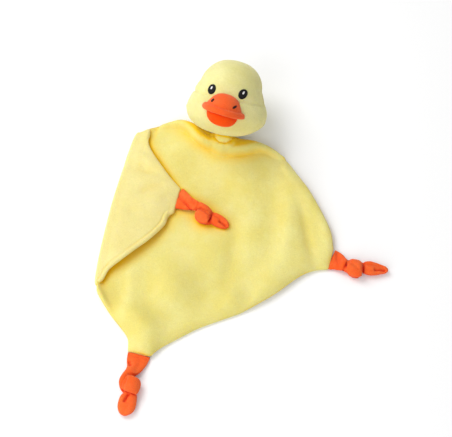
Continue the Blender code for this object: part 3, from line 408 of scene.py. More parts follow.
# Places taken from the model's joints
joints = {j["name"]: j for j in frame["joints"]}
neck = np.array(joints["neck_nod"]["pos_m"], float)
head_side = Vector(joints["neck_nod"]["axis"]).normalized()
head_up = Vector(joints["head_turn"]["axis"]).normalized()
head_back = head_up.cross(head_side)
middle = neck[:2] - np.array(NECK_SHARES) * SIDE
head_turn = Matrix((head_side, head_back, head_up)).transposed().to_4x4()
head_turn.translation = Vector(neck) + head_up * (HEAD_HEIGHT / 2 - NECK_SINK)


def plan(shares):
    return np.array(shares, float) * SIDE + middle


def even(count):
    return np.linspace(0, 1, count)


def circle(count):
    """Angles evenly round a circle."""
    return np.linspace(0, 2 * math.pi, count, endpoint=False)


# Meshes
def piece(name, verts, faces, look):
    mesh = bpy.data.meshes.new(name)
    mesh.from_pydata([tuple(v) for v in verts], [], [tuple(f) for f in faces])
    mesh.update()
    mesh.shade_smooth()
    obj = bpy.data.objects.new(name, mesh)
    bpy.context.scene.collection.objects.link(obj)
    mesh.materials.append(look)
    return obj


def pillow(top, bottom):
    """A closed sheet of two grids of points that share their rim."""
    rows, columns = top.shape[:2]
    index = np.arange(rows * columns).reshape(rows, columns)
    under = index.copy()
    inner = (rows - 2) * (columns - 2)
    under[1:-1, 1:-1] = rows * columns + np.arange(inner).reshape(rows - 2, columns - 2)
    verts = np.concatenate([top.reshape(-1, 3), bottom[1:-1, 1:-1].reshape(-1, 3)])
    faces = []
    for i in range(rows - 1):
        for j in range(columns - 1):
            faces.append((index[i, j], index[i + 1, j], index[i + 1, j + 1], index[i, j + 1]))
            faces.append((under[i, j], under[i, j + 1], under[i + 1, j + 1], under[i + 1, j]))
    return verts, faces


def tube(rings):
    """A closed solid of rings of points, its ends closed by one point each."""
    count = len(rings[0])
    verts = [p for ring in rings for p in ring]
    faces = []
    for k in range(len(rings) - 1):
        for i in range(count):
            j = (i + 1) % count
            a, b = k * count, (k + 1) * count
            faces.append((a + i, a + j, b + j, b + i))
    for end, base in ((0, 0), (1, (len(rings) - 1) * count)):
        verts.append(np.mean([verts[base + i] for i in range(count)], axis=0))
        for i in range(count):
            face = (base + i, len(verts) - 1, base + (i + 1) % count)
            faces.append(face if end else face[::-1])
    return verts, faces


def outward(obj):
    """Turns a closed mesh's faces outward."""
    work = bmesh.new()
    work.from_mesh(obj.data)
    bmesh.ops.recalc_face_normals(work, faces=work.faces)
    if work.calc_volume(signed=True) < 0:
        bmesh.ops.reverse_faces(work, faces=work.faces)
    work.to_mesh(obj.data)
    work.free()
    return obj


def between(a, b, c, d, t):
    """The Catmull-Rom blend from b to c, with a before them and d after them."""
    square = 2 * a - 5 * b + 4 * c - d
    cube = 3 * b - a - 3 * c + d
    return 0.5 * (2 * b + (c - a) * t + square * t**2 + cube * t**3)


def curve(points, shares, measured=3):
    """Points on a smooth curve through the given points, at shares of its length over the first columns."""
    points = np.array(points, float)
    padded = np.vstack([2 * points[0] - points[1], points, 2 * points[-1] - points[-2]])
    steps = even(CURVE_STEPS + 1)[:-1]
    dense = [between(*padded[k : k + 4], t) for k in range(len(points) - 1) for t in steps]
    dense = np.array([*dense, points[-1]])
    lengths = np.concatenate([[0], np.cumsum(np.linalg.norm(np.diff(dense[:, :measured], axis=0), axis=1))])
    wanted = np.array(shares) * lengths[-1]
    return np.stack([np.interp(wanted, lengths, dense[:, k]) for k in range(points.shape[1])], axis=1)


def arc_shares(points):
    steps = np.linalg.norm(np.diff(points, axis=0), axis=1)
    return np.concatenate([[0], np.cumsum(steps)]) / steps.sum()


def resample(line, shares):
    return np.stack([np.interp(shares, arc_shares(line), line[:, k]) for k in range(line.shape[1])], axis=1)


def close_ends(count, crowd, start=True):
    """Shares from 0 to 1 that crowd towards the end, and by choice towards the start too."""
    t = even(count)
    eased = 0.5 - 0.5 * np.cos(math.pi * t) if start else np.sin(math.pi / 2 * t)
    return (1 - crowd) * t + crowd * eased


def crowded(count, crowding):
    """Shares from 0 to 1 that crowd round places: each a share, a reach and how many more there are."""
    t = even(CROWDING_STEPS)
    need = np.ones(len(t))
    for place, reach, more in crowding:
        need += more * bump(t - place, reach)
    run = np.concatenate([[0], np.cumsum((need[1:] + need[:-1]) / 2)])
    return np.interp(even(count), run / run[-1], t)


def coons(south, north, west, east):
    """Grid of plan points between four boundary curves: south and north run west to east."""
    u = ((arc_shares(south) + arc_shares(north)) / 2)[None, :, None]
    v = ((arc_shares(west) + arc_shares(east)) / 2)[:, None, None]
    across = (1 - u) * west[:, None] + u * east[:, None]
    along = (1 - v) * south[None] + v * north[None]
    corners = (1 - u) * ((1 - v) * south[0] + v * north[0]) + u * ((1 - v) * south[-1] + v * north[-1])
    return across + along - corners


def tag_seam(place, heading):
    across = np.array([-math.sin(math.radians(heading)), math.cos(math.radians(heading))])
    return plan(place) + across * TAG_WIDTH / 2, plan(place) - across * TAG_WIDTH / 2


def from_line(points, line):
    """Distance in plan of each point to a polyline."""
    flat = points.reshape(-1, 1, 2)
    a, b = line[:-1][None], line[1:][None]
    step = b - a
    t = np.clip(((flat - a) * step).sum(-1) / np.maximum((step**2).sum(-1), 1e-12), 0, 1)
    return np.linalg.norm(flat - a - t[..., None] * step, axis=-1).min(axis=1).reshape(points.shape[:-1])


def bump(distance, width):
    return np.exp(-((distance / width) ** 2))


def unit(vector):
    return vector / np.linalg.norm(vector)


def in_frame(points, at):
    m = np.array(at)
    return np.array(points).reshape(-1, 3) @ m[:3, :3].T + m[:3, 3]


# Materials: a node's inputs are given as plain values or as the outputs that feed them
def wire(tree, node, inputs):
    for name, value in inputs.items():
        if isinstance(value, bpy.types.NodeSocket):
            tree.links.new(value, node.inputs[name])
        else:
            node.inputs[name].default_value = value
    return node


def add(tree, kind, inputs):
    return wire(tree, tree.nodes.new("ShaderNode" + kind), inputs)


def noise_at(tree, place, scale, detail, roughness=0.5):
    inputs = {"Scale": scale, "Detail": detail, "Roughness": roughness, "Vector": place}
    return add(tree, "TexNoise", inputs).outputs["Fac"]


def ranged(tree, value, start, end, low=0.0, high=1.0, kind="LINEAR"):
    """A value's run from start to end, turned into one from low to high."""
    inputs = {"Value": value, "From Min": start, "From Max": end, "To Min": low, "To Max": high}
    node = add(tree, "MapRange", inputs)
    node.interpolation_type = kind
    return node.outputs["Result"]


def mixed(tree, share, a, b, kind="MIX"):
    """Two colours mixed by a share."""
    node = tree.nodes.new("ShaderNodeMix")
    node.data_type = "RGBA"
    node.blend_type = kind
    return wire(tree, node, {"Factor": share, "A": a, "B": b}).outputs["Result"]


def combined(tree, kind, a, b):
    node = tree.nodes.new("ShaderNodeMath")
    node.operation = kind
    return wire(tree, node, {0: a, 1: b}).outputs[0]


def raised(tree, strength, distance, height, over=None):
    """A bump, laid over another one's normal where there is one."""
    node = add(tree, "Bump", {"Strength": strength, "Distance": distance, "Height": height})
    if over:
        wire(tree, node, {"Normal": over})
    return node.outputs["Normal"]


def material(name, inputs):
    """A new material's tree, its shader and the place of each point on its object."""
    look = bpy.data.materials.new(name)
    look.use_nodes = True
    tree = look.node_tree
    shader = wire(tree, tree.nodes["Principled BSDF"], inputs)
    return look, tree, shader, tree.nodes.new("ShaderNodeTexCoord").outputs["Object"]


def velour(name, colour, brushed, deep, painted_shade_fade=(0.15, 0.85), rim=None, sheen=0.35):
    """Short-pile velour: patches of pile that lie the other way, fine fibres, and a painted shade in its
    folds.

    The deep colour is painted shade: ambient occlusion mixes it into the base colour, it fades as more of the
    sky is open, and below the heights of a rim it stays away.
    """
    inputs = {
        "Roughness": 0.92,
        "Specular IOR Level": 0.15,
        "Sheen Weight": sheen,
        "Sheen Roughness": 0.45,
        "Sheen Tint": (*[0.5 + 0.5 * c for c in brushed], 1),
        "Subsurface Weight": PILE_GLOW,
        "Subsurface Radius": (1.0, 0.7, 0.12),
        "Subsurface Scale": GLOW_DEPTH,
    }
    look, tree, shader, place = material(name, inputs)
    patches = ranged(tree, noise_at(tree, place, PATCH_SCALE, 5, 0.6), 0.38, 0.66)
    lying = mixed(tree, patches, (*colour, 1), (*brushed, 1))
    fibres = noise_at(tree, place, FIBRE_SCALE, 3, 0.7)
    shaded = mixed(tree, 1.0, lying, ranged(tree, fibres, 0.3, 0.7, 0.86, 1.08), "MULTIPLY")
    # Painted shade: ambient occlusion sets how much of the deep shade colour goes into the base colour
    crowding = add(tree, "AmbientOcclusion", {"Distance": FOLD_SHADE_REACH})
    crowding.samples = 8
    clear_of_painted_shade = ranged(tree, crowding.outputs["AO"], *painted_shade_fade)
    # The painted shade is kept off the low cloth near the table, below the rim's heights
    if rim:
        height = add(tree, "SeparateXYZ", {"Vector": place}).outputs["Z"]
        clear_of_painted_shade = combined(tree, "MAXIMUM", clear_of_painted_shade, ranged(tree, height, *rim, 1, 0, "SMOOTHSTEP"))
    soft = raised(tree, 0.35, SOFT_RELIEF, noise_at(tree, place, SOFT_SCALE, 3))
    nap = raised(tree, 0.5, NAP_RELIEF, fibres, soft)
    wire(tree, shader, {"Base Color": mixed(tree, clear_of_painted_shade, (*deep, 1), shaded), "Normal": nap})
    return look


def thread(name, colour, roughness=0.45, sheen=0.2):
    """Satin-stitched thread: fine strands across the stitch."""
    inputs = {"Roughness": roughness, "Specular IOR Level": 0.12, "Sheen Weight": sheen}
    look, tree, shader, place = material(name, inputs)
    strands = noise_at(tree, place, STRAND_SCALE, 2)
    tone = add(tree, "ValToRGB", {"Fac": strands})
    dark, light = tone.color_ramp.elements
    dark.position = 0.3
    dark.color = (*[c * 0.75 for c in colour], 1)
    light.position = 0.75
    light.color = (*[min(1, c * 1.15 + 0.01) for c in colour], 1)
    relief = raised(tree, 0.4, STRAND_RELIEF, strands)
    wire(tree, shader, {"Base Color": tone.outputs["Color"], "Normal": relief})
    return look


# Each velour: its own colour, the colour of pile that lies the other way, and a deep colour painted in as
# shade where its folds crowd
yellow = velour(
    "blanket_velour", (0.79, 0.69, 0.20), (0.83, 0.755, 0.28), (0.90, 0.57, 0.01),
    painted_shade_fade=(0.62, 1.0), rim=(3.2 * MM, 5.8 * MM),
)
pale_yellow = velour(
    "blanket_back_velour", (0.81, 0.70, 0.265), (0.845, 0.745, 0.315), (0.88, 0.60, 0.05),
    painted_shade_fade=(0.45, 0.98),
)
head_yellow = velour(
    "head_velour", (0.75, 0.69, 0.28), (0.81, 0.76, 0.355), (0.80, 0.68, 0.18), painted_shade_fade=(0.0, 0.6)
)
orange = velour(
    "tag_velour", (0.92, 0.115, 0.016), (0.95, 0.175, 0.04), (0.72, 0.02, 0.001),
    painted_shade_fade=(0.35, 0.95), sheen=0.3,
)
beak_orange = velour(
    "beak_velour", (0.92, 0.105, 0.016), (0.95, 0.145, 0.03), (0.66, 0.035, 0.004), sheen=0.3
)
bright_orange = velour(
    "lower_beak_velour", (0.97, 0.07, 0.001), (0.98, 0.09, 0.003), (0.76, 0.025, 0.001), sheen=0.05
)
black_thread = thread("black_thread", (0.004, 0.004, 0.004), 0.6, 0.02)
white_thread = thread("white_thread", (0.85, 0.85, 0.85))
brown_thread = thread("brown_thread", (0.045, 0.008, 0.004), 0.6, 0.02)
yellow_thread = thread("yellow_thread", (0.72, 0.60, 0.18), 0.6)


# The head's shape
def spread(values, at):
    """Smooth values between the levels of a table, at shares of its length."""
    place = np.clip(at, 0, 1) * (len(values) - 1)
    k = np.minimum(place.astype(int), len(values) - 2)
    first = -values[1] if values[0] == 0 else 2 * values[0] - values[1]
    last = -values[-2] if values[-1] == 0 else 2 * values[-1] - values[-2]
    padded = np.array([first, *values, last])
    return between(padded[k], padded[k + 1], padded[k + 2], padded[k + 3], place - k)


def head_points(directions):
    d = np.array(directions, float)
    polar = np.arccos(np.clip(d[..., 2], -1, 1)) / math.pi
    flat = np.maximum(np.hypot(d[..., 0], d[..., 1]), 1e-9)
    wide = spread(HEAD_WIDTH_SHARES, polar) * HEAD_WIDTH / 2
    deep = spread(HEAD_DEPTH_SHARES, polar) * HEAD_DEPTH / 2
    level = spread(HEAD_LEVEL_SHARES, polar) * HEAD_HEIGHT / 2
    lean = spread(HEAD_LEAN, polar) * MM
    return np.stack([wide * d[..., 0] / flat + lean, deep * d[..., 1] / flat, level], axis=-1)


def ball(cells):
    """Directions and quads of a ball made of six squares."""
    steps = np.tan(np.linspace(-math.pi / 4, math.pi / 4, cells + 1))
    found, verts, faces = {}, [], []
    for axis in range(3):
        for way in (-1, 1):
            index = np.zeros((cells + 1, cells + 1), int)
            for i, a in enumerate(steps):
                for j, b in enumerate(steps):
                    p = [0.0, 0.0, 0.0]
                    p[axis], p[(axis + 1) % 3], p[(axis + 2) % 3] = way, a, b
                    d = np.array(p) / np.linalg.norm(p)
                    key = tuple(np.round(d, 6) + 0.0)
                    if key not in found:
                        found[key] = len(verts)
                        verts.append(d)
                    index[i, j] = found[key]
            for i in range(cells):
                for j in range(cells):
                    quad = (index[i, j], index[i + 1, j], index[i + 1, j + 1], index[i, j + 1])
                    faces.append(quad if way > 0 else quad[::-1])
    return np.array(verts), faces


# The laid cloth
def ridge(points, path, left, right):
    """Share of a ridge's height at plan points, with a reach to the left and one to the right of its path."""
    line = curve([(*plan(p[:2]), p[2]) for p in path], even(RIDGE_STEPS), measured=2)
    flat = points.reshape(-1, 2)
    step = flat[:, None] - line[None, :, :2]
    away = np.hypot(step[..., 0], step[..., 1])
    near = away.argmin(axis=1)
    along = np.gradient(line[:, :2], axis=0)[near]
    offset = step[np.arange(len(flat)), near]
    side = along[:, 0] * offset[:, 1] - along[:, 1] * offset[:, 0]
    reach = np.where(side > 0, left, right)
    share = line[near, 2] * bump(away[np.arange(len(flat)), near], reach)
    return share.reshape(points.shape[:-1])


def collar(points):
    """Height of the crest round the neck, with the cloth's rise to the neck, one crease and small pleats."""
    crest = ridge(points, COLLAR_SHARES, *COLLAR_REACHES)
    skirt = ridge(points, COLLAR_SHARES, *COLLAR_SKIRT_REACHES)
    height = COLLAR_HEIGHT * (1 - COLLAR_SKIRT_SHARE) * crest + COLLAR_HEIGHT * COLLAR_SKIRT_SHARE * skirt
    from_neck = points - neck[:2]
    out = np.hypot(from_neck[..., 0], from_neck[..., 1]) - NECK_RADIUS
    rise = NECK_RISE * bump(np.maximum(out, 0), NECK_RISE_REACH)
    height = (height + rise + np.hypot(height - rise, NECK_EASE) - NECK_EASE) / 2
    height -= COLLAR_CREASE_DEPTH * ridge(points, COLLAR_CREASE_SHARES, *COLLAR_CREASE_REACHES)
    round_neck = np.arctan2(from_neck[..., 1], from_neck[..., 0])
    return height + PLEAT_DEPTH * np.cos(PLEATS_ROUND * round_neck) * bump(out, PLEAT_REACH)


def relief(points, edge=None, beside=True):
    """Height of the laid blanket's underside over the table; its soft swells sink towards the sewn edge."""
    x, y = points[..., 0], points[..., 1]
    swell = np.zeros_like(x)
    for across, up, wide, long, rise in DOMES:
        spot = plan((across, up))
        far = np.hypot((x - spot[0]) / (wide * SIDE), (y - spot[1]) / (long * SIDE))
        swell += rise * MM * np.exp(-DOME_FALL * far**2)
    spots = [Vector((*p, SWELL_SEED / SWELLS_IN_METRE)) * SWELLS_IN_METRE for p in points.reshape(-1, 2)]
    wave = np.array([noise.noise(p) for p in spots]).reshape(x.shape)
    swell += np.clip(wave + SWELL_BASE, 0, 1) * SWELL_HEIGHT
    if edge is not None:
        swell *= 1 - SUNK_EDGE_SHARE * bump(edge, SUNK_EDGE_REACH)
    for rise, left, right, path in RIDGES:
        swell += rise * MM * ridge(points, path, left * SIDE, right * SIDE)
    if beside:
        swell += BESIDE_FLAP_RISE * ridge(points, BESIDE_FLAP_SHARES, *BESIDE_FLAP_REACH)
    return np.maximum(0, np.maximum(0, collar(points)) + swell)


def neck_blend():
    """Where the cloth starts to follow the neck, and where it does so whole."""
    ahead = neck[1] - NECK_RADIUS
    return Vector((0, ahead, NECK_BLEND[0])), Vector((0, ahead + NECK_BLEND_SLANT, NECK_BLEND[1]))


class HeadRoom:
    """The lowest surface of the head over the cloth, at rest and as it moves with the neck."""

    def __init__(self):
        verts, faces = ball(ROOM_CELLS)
        moved = in_frame(head_points(verts), head_turn)
        self.tree = BVHTree.FromPolygons([Vector(p) for p in moved], faces)
        at_neck = Matrix.Translation(Vector(neck))
        self.poses = []
        for nod in NODS:
            for turn in TURNS:
                nodding = Matrix.Rotation(math.radians(nod), 4, head_side)
                turning = Matrix.Rotation(math.radians(turn), 4, head_up)
                carried = at_neck @ nodding @ at_neck.inverted()
                self.poses.append((carried, (carried @ at_neck @ turning @ at_neck.inverted()).inverted()))

    def clear(self, point):
        """Whether a point of the cloth stays out of the head in all poses."""
        spot = Vector(point)
        start, end = neck_blend()
        share = min(1.0, max(0.0, (spot - start).dot(end - start) / (end - start).length_squared))
        share = share * share * (3 - 2 * share)
        for carried, back in self.poses:
            here = back @ spot.lerp(carried @ spot, share)
            hit = self.tree.ray_cast(Vector((here.x, here.y, -HEAD_HEIGHT)), Vector((0, 0, 1)))[0]
            if hit and here.z > hit.z - MOTION_GAP:
                return False
        return True

    def fit(self, x, y, height):
        """The greatest height up to the given one at which the cloth's top stays out of the head."""
        if self.clear((x, y, height + LAYERS)):
            return height
        low, high = 0.0, height
        for _ in range(CLEAR_ROUNDS):
            half = (low + high) / 2
            low, high = (half, high) if self.clear((x, y, half + LAYERS)) else (low, half)
        return low


room = HeadRoom()


def heights(points, edge):
    height = relief(points, edge)
    for k in np.ndindex(points.shape[:-1]):
        if np.hypot(*(points[k] - neck[:2])) < CLEAR_REACH:
            height[k] = room.fit(*points[k], height[k])
    return height


def smooth(grid, rounds):
    for _ in range(rounds):
        beside = (grid[:-2, 1:-1] + grid[2:, 1:-1] + grid[1:-1, :-2] + grid[1:-1, 2:]) / 4
        grid = grid.copy()
        grid[1:-1, 1:-1] = (grid[1:-1, 1:-1] + beside) / 2
    return grid


def rounded(distance, radius):
    """Half the thickness of the two layers, at a distance from their sewn edge."""
    inside = 1 - np.clip(distance / radius, 0, 1)
    return LAYERS / 2 * np.sqrt(np.maximum(0, 1 - inside**2))


def lift(grid, height):
    return np.concatenate([grid, height[..., None]], axis=2)


def facing(grid):
    """Upward normals of a grid of points."""
    normal = np.cross(np.gradient(grid, axis=0), np.gradient(grid, axis=1))
    normal *= np.sign(normal[..., 2:].sum())
    return normal / np.maximum(np.linalg.norm(normal, axis=2, keepdims=True), 1e-12)


def surface(obj):
    mesh = obj.data
    return BVHTree.FromPolygons([v.co for v in mesh.vertices], [tuple(f.vertices) for f in mesh.polygons])


def shortfall(points, tree):
    """How far each point has to rise to lie over a surface."""
    need = np.zeros(points.shape[:-1])
    for k in np.ndindex(need.shape):
        x, y, z = points[k]
        hit = tree.ray_cast(Vector((x, y, SIDE)), Vector((0, 0, -1)))[0]
        need[k] = max(0.0, hit.z + GAP - z) if hit else 0.0
    return need


def blanket_grid():
    """Plan points of the laid blanket, with rows out from the neck and columns round, and its sewn edge."""
    fold = curve(plan(FOLD_SHARES)[::-1], even(FOLD_COUNT))
    bottom = tag_seam(BOTTOM_CORNER_SHARES, BOTTOM_TAG_HEADING)
    right = tag_seam(RIGHT_CORNER_SHARES, RIGHT_TAG_HEADING)
    runs = [fold]
    runs.append(curve([fold[-1], *plan(LOWER_LEFT_SHARES), bottom[1]], even(LOWER_LEFT_COUNT))[1:])
    runs.append(np.linspace(bottom[1], bottom[0], TAG_EDGE_COUNT)[1:])
    runs.append(curve([bottom[0], *plan(BOTTOM_EDGE_SHARES), right[1]], even(BOTTOM_EDGE_COUNT))[1:])
    runs.append(np.linspace(right[1], right[0], TAG_EDGE_COUNT)[1:])
    outer = np.concatenate(runs)
    outer = resample(outer, close_ends(len(outer), EDGE_CROWDING))
    start, end = NECK_NOTCH
    angles = np.radians(start + (end - start) * arc_shares(outer))
    inner = neck[:2] + (NECK_RADIUS - NECK_TUCK) * np.stack([np.cos(angles), np.sin(angles)], axis=1)
    rows = crowded(ROW_COUNT, ROW_CROWDING)
    left_side = curve([inner[0], *plan(LEFT_SHOULDER_SHARES), outer[0]], rows)
    right_side = curve([inner[-1], *plan(RIGHT_EDGE_SHARES)[::-1], outer[-1]], rows)
    sewn = np.concatenate([left_side, outer[FOLD_COUNT - 1 :], right_side[::-1]])
    return coons(inner, outer, left_side, right_side), sewn


def build_blanket():
    grid, sewn = blanket_grid()
    distance = from_line(grid, sewn)
    half = rounded(distance, EDGE_RADIUS)
    half[0] = half[-1] = half[:, 0] = half[:, -1] = 0
    under = smooth(heights(grid, distance), LAID_ROUNDS)
    under[:COLLAR_ROWS] = smooth(under[:COLLAR_ROWS], COLLAR_ROUNDS)
    from_neck = grid - neck[:2]
    far = np.linalg.norm(from_neck, axis=2)
    puff = EDGE_PUFF * (1 - bump(distance, PUFF_START)) * bump(distance, PUFF_REACH)
    puff *= 1 - bump(far, PUFF_NECK_REACH)
    near = ridge(grid, COLLAR_SHARES, *LEAN_REACHES) * np.clip(distance / LEAN_EDGE, 0, 1)
    lean = COLLAR_LEAN * near * np.clip((under - LEAN_START) / LEAN_RISE, 0, 1)
    cloth = lift(grid + from_neck / far[..., None] * lean[..., None], under + LAYERS / 2)
    way = facing(cloth) * near[..., None] + np.array([0, 0, 1]) * (1 - near[..., None])
    way /= np.linalg.norm(way, axis=2, keepdims=True)
    top = cloth + way * (half + puff * (half > 0))[..., None]
    low = cloth - way * half[..., None]
    low[..., 2] = np.maximum(low[..., 2], 0)
    obj = outward(piece("blanket_cloth", *pillow(top, low), yellow))
    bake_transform(obj)
    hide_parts("blanket_front_panel", "blanket_back_panel")
    return obj


def flap_height(grid, fold, from_fold):
    """Height of the folded corner's middle: the blanket under it, its bend, an arch and wrinkles."""
    flat = smooth(relief(grid, beside=False), FLAP_ROUNDS) + LAYERS + GAP + LAYERS / 2
    out = np.array([arc_shares(grid[:, j]) for j in range(grid.shape[1])]).T
    along = np.array([arc_shares(row) for row in grid])
    to_fold = np.exp(-np.maximum(0, from_fold - BEND_HOLD) / BEND_REACH)
    stretch, power = FLAP_LIFT_SHARES
    arch = FLAP_ARCH * 4 * out * (1 - out)
    arch += FLAP_LIFT * np.sin(math.pi * np.clip(out * stretch, 0, 1) ** power) * (1 - along) ** 2
    height = flat + (BEND_HEIGHT - LAYERS / 2 - flat) * to_fold + arch * (1 - to_fold * BEND_ARCH_SHARE)
    for rise, reach, path in WRINKLES:
        height += rise * MM * ridge(grid, path, reach * SIDE, reach * SIDE)
    return height


def bend(fold, inward, height, thick):
    """The bend's outer and inner cloth, from the blanket up to the folded corner, and its shift in plan."""
    center = LAYERS / 2 + (height - LAYERS / 2) / 2
    radius = height - center
    shift = radius * BEND_SHIFT_SHARE
    grids = []
    for way in (1, -1):
        r = radius + way * thick
        rows = []
        for angle in np.linspace(-math.pi / 2, math.pi / 2, BEND_COUNT)[:-1]:
            point = fold + inward * (-np.cos(angle) * (r * BEND_DEPTH_SHARE) + shift)[:, None]
            rows.append(np.concatenate([point, (center + np.sin(angle) * r)[:, None]], axis=1))
        grids.append(np.array(rows))
    return *grids, inward * shift[:, None]


def build_flap(under):
    """The folded corner with its bend: rows run from inside the bend, round it and out to the tag."""
    seam_top, seam_bottom = plan(FLAP_EDGE_SHARES)
    columns = close_ends(*FLAP_COLUMNS)
    fold = curve(plan(FOLD_SHARES), columns)
    seam = seam_bottom + (seam_top - seam_bottom) * columns[:, None]
    rows = close_ends(*FLAP_ROWS, start=False)
    lower = curve([fold[0], *plan(FLAP_LOWER_SHARES), seam_bottom], rows)
    upper = curve([fold[-1], *plan(FLAP_UPPER_SHARES), seam_top], rows)
    grid = coons(fold, seam, lower, upper)
    from_fold = np.linalg.norm(grid - fold[None], axis=2)
    from_hem, from_seam = from_line(grid, lower), from_line(grid, seam)
    height = flap_height(grid, fold, from_fold)
    distance = np.minimum(np.minimum(from_hem, from_line(grid, upper)), from_seam * FLAP_SEAM_EASE)
    half = rounded(distance, FLAP_EDGE_RADIUS)
    half[:, 0] = half[:, -1] = half[-1] = 0
    groove = HEM_GROOVE[0] * bump(from_hem - HEM_WIDTH, HEM_GROOVE[1])
    groove += HEM_ROLL[0] * bump(from_hem - HEM_ROLL_SHARE * HEM_WIDTH, HEM_ROLL[1])
    groove *= np.clip(from_seam / HEM_FADE, 0, 1)
    top = lift(grid, height + half + groove * (half > 0))
    low = lift(grid, height - half)
    need = shortfall(low, under) * (1 - bump(from_fold, BEND_CLEAR))
    need = np.maximum(need, smooth(need, NEED_ROUNDS))
    top[..., 2] += need
    low[..., 2] += need
    span = fold[-1] - fold[0]
    inward = unit(np.array([span[1], -span[0]]))
    bend_top, bend_low, shift = bend(fold, inward, (height + need)[0], half[0])
    ease = np.exp(-from_fold / BEND_SHIFT_REACH)[..., None]
    top[..., :2] += shift[None] * ease
    low[..., :2] += shift[None] * ease
    top = np.concatenate([bend_top, top])
    low = np.concatenate([bend_low, low])
    low[0] = top[0]
    obj = outward(piece("folded_corner", *pillow(top, low), pale_yellow))
    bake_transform(obj)
    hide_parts("corner_front_panel", "corner_back_panel")
    return obj


# Stuffed pieces
def inflate(obj, held):
    """Fills a closed mesh with air pressure while some vertices are held, and returns each vertex's move."""
    mesh = obj.data
    before = np.array([v.co for v in mesh.vertices])
    mesh.transform(Matrix.Scale(FILL_SCALE, 4))
    group = obj.vertex_groups.new(name="held")
    for i, weight in enumerate(held):
        group.add([i], float(weight), "REPLACE")
    modifier = obj.modifiers.new("pressure", "CLOTH")
    settings = modifier.settings
    settings.quality = 6
    settings.mass = 0.3
    settings.tension_stiffness = 25
    settings.compression_stiffness = 25
    settings.shear_stiffness = 8
    settings.bending_stiffness = 1.5
    settings.vertex_group_mass = "held"
    settings.use_pressure = True
    settings.uniform_pressure_force = FILL_PRESSURE
    settings.shrink_min = -FILL_SLACK
    settings.effector_weights.gravity = 0
    modifier.collision_settings.use_collision = False
    for step in range(1, FILL_STEPS + 1):
        bpy.context.scene.frame_set(step)
    filled = obj.evaluated_get(bpy.context.evaluated_depsgraph_get())
    after = np.array([v.co for v in filled.data.vertices]) / FILL_SCALE
    obj.modifiers.remove(modifier)
    obj.vertex_groups.remove(group)
    mesh.transform(Matrix.Scale(1 / FILL_SCALE, 4))
    bpy.context.scene.frame_set(1)
    moved = after - before
    far = np.maximum(np.linalg.norm(moved, axis=1, keepdims=True), 1e-9)
    return moved * np.minimum(1, FILL_CAP / far)


def refine(obj):
    """Adds one subdivision to a mesh and keeps its result."""
    obj.modifiers.new("fine", "SUBSURF").levels = 1
    obj.modifiers["fine"].render_levels = 1
    mesh = bpy.data.meshes.new_from_object(obj.evaluated_get(bpy.context.evaluated_depsgraph_get()))
    obj.modifiers.clear()
    obj.data = mesh
    mesh.shade_smooth()


def from_seams(local):
    """Distance of points in the head's own axes from its side seam or its cheek seam."""
    x, y, z = (local / (np.array([HEAD_WIDTH, HEAD_DEPTH, HEAD_HEIGHT]) / 2)).T
    side = np.abs(y) * HEAD_DEPTH / 2
    cheek = np.where(y < 0, np.abs(z - CHEEK_SEAM_SLOPE * np.abs(x)) * HEAD_HEIGHT / 2, HEAD_HEIGHT)
    return np.minimum(side, cheek)


def build_head():
    """The filled head, drawn in along its seams; its back sinks until it rests on the table."""
    directions, faces = ball(HEAD_CELLS)
    local = head_points(directions)
    obj = piece("stuffed_head", local * UNFILLED_SHARE, faces, head_yellow)
    moved = inflate(obj, bump(from_seams(local), SEAM_HOLD))
    obj.data.vertices.foreach_set("co", (local * UNFILLED_SHARE + moved).ravel())
    obj.data.update()
    refine(obj)
    co = np.array([v.co for v in obj.data.vertices])
    normals = np.array([v.normal for v in obj.data.vertices])
    near = from_seams(co)
    along = np.arctan2(co[:, 2], co[:, 0]) * HEAD_WIDTH / 2
    depth = PUCKER_DEPTH * np.cos(along / PUCKER_PITCH) * bump(near - PUCKER_PLACE, PUCKER_REACH)
    for groove, reach in SEAM_GROOVES:
        depth -= groove * bump(near, reach)
    laid = in_frame(co + normals * depth[:, None], head_turn)
    lowest = laid[:, 2].min()
    share = np.clip(1 - laid[:, 2] / HEAD_REST_HEIGHT, 0, 1) / (1 - lowest / HEAD_REST_HEIGHT)
    laid[:, 2] -= (lowest - GAP) * share**2
    obj.data.vertices.foreach_set("co", laid.ravel())
    obj.data.update()
    outward(obj)
    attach(obj, "head")
    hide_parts("head_forehead_panel", "head_chin_panel", "head_back_panel", "head_stuffing")
    return obj


def bill(name, sizes, profile, way, look, corners):
    """One bill: rings of its profile round the mouth line's ellipse, with drawn-out corners."""
    width, reach, height = sizes
    levels, around = BILL_COUNTS
    ahead, aside = np.cos(circle(around)), np.sin(circle(around))
    (flare, flare_power), (curl, curl_power) = BILL_FLARE, BILL_CURL
    rings = []
    for out, rise in curve(profile, even(levels)):
        low = np.clip(1 - rise / BILL_LIP_SHARE, 0, 1)
        drawn = 1 + flare * low * np.abs(ahead) ** (flare_power * (1 + corners * low))
        x = out * width / 2 * ahead * drawn
        y = out * reach * np.sign(aside) * np.abs(aside) ** (1 + corners / 2 * low)
        z = way * (rise * height + MOUTH_GAP / 2) + curl * low * np.abs(ahead) ** curl_power
        rings.append(np.stack([x, y, z], axis=1))
    mouth = head_turn @ Matrix.Translation((MOUTH_SHIFT, BILL_SEAT - HEAD_DEPTH / 2, -MOUTH_DROP))
    mouth = mouth @ Matrix.Rotation(math.radians(MOUTH_ROLL), 4, "Y")
    verts, faces = tube(rings)
    obj = outward(piece("stuffed_" + name, in_frame(verts, mouth), faces, look))
    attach(obj, "head")
    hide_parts(name, name + "_stuffing")
    return obj


def reader(obj):
    """A function from (side, up) on the face to the point and normal of an object's front there."""
    tree = BVHTree.FromObject(obj, bpy.context.evaluated_depsgraph_get())
    to_world = obj.matrix_world
    back = to_world.inverted()

    def read(x, z):
        start = head_turn @ Vector((x, -HEAD_WIDTH, z))
        hit, normal, _, _ = tree.ray_cast(back @ start, back.to_3x3() @ head_back)
        return np.array(to_world @ hit), np.array((to_world.to_3x3() @ normal).normalized())

    return read


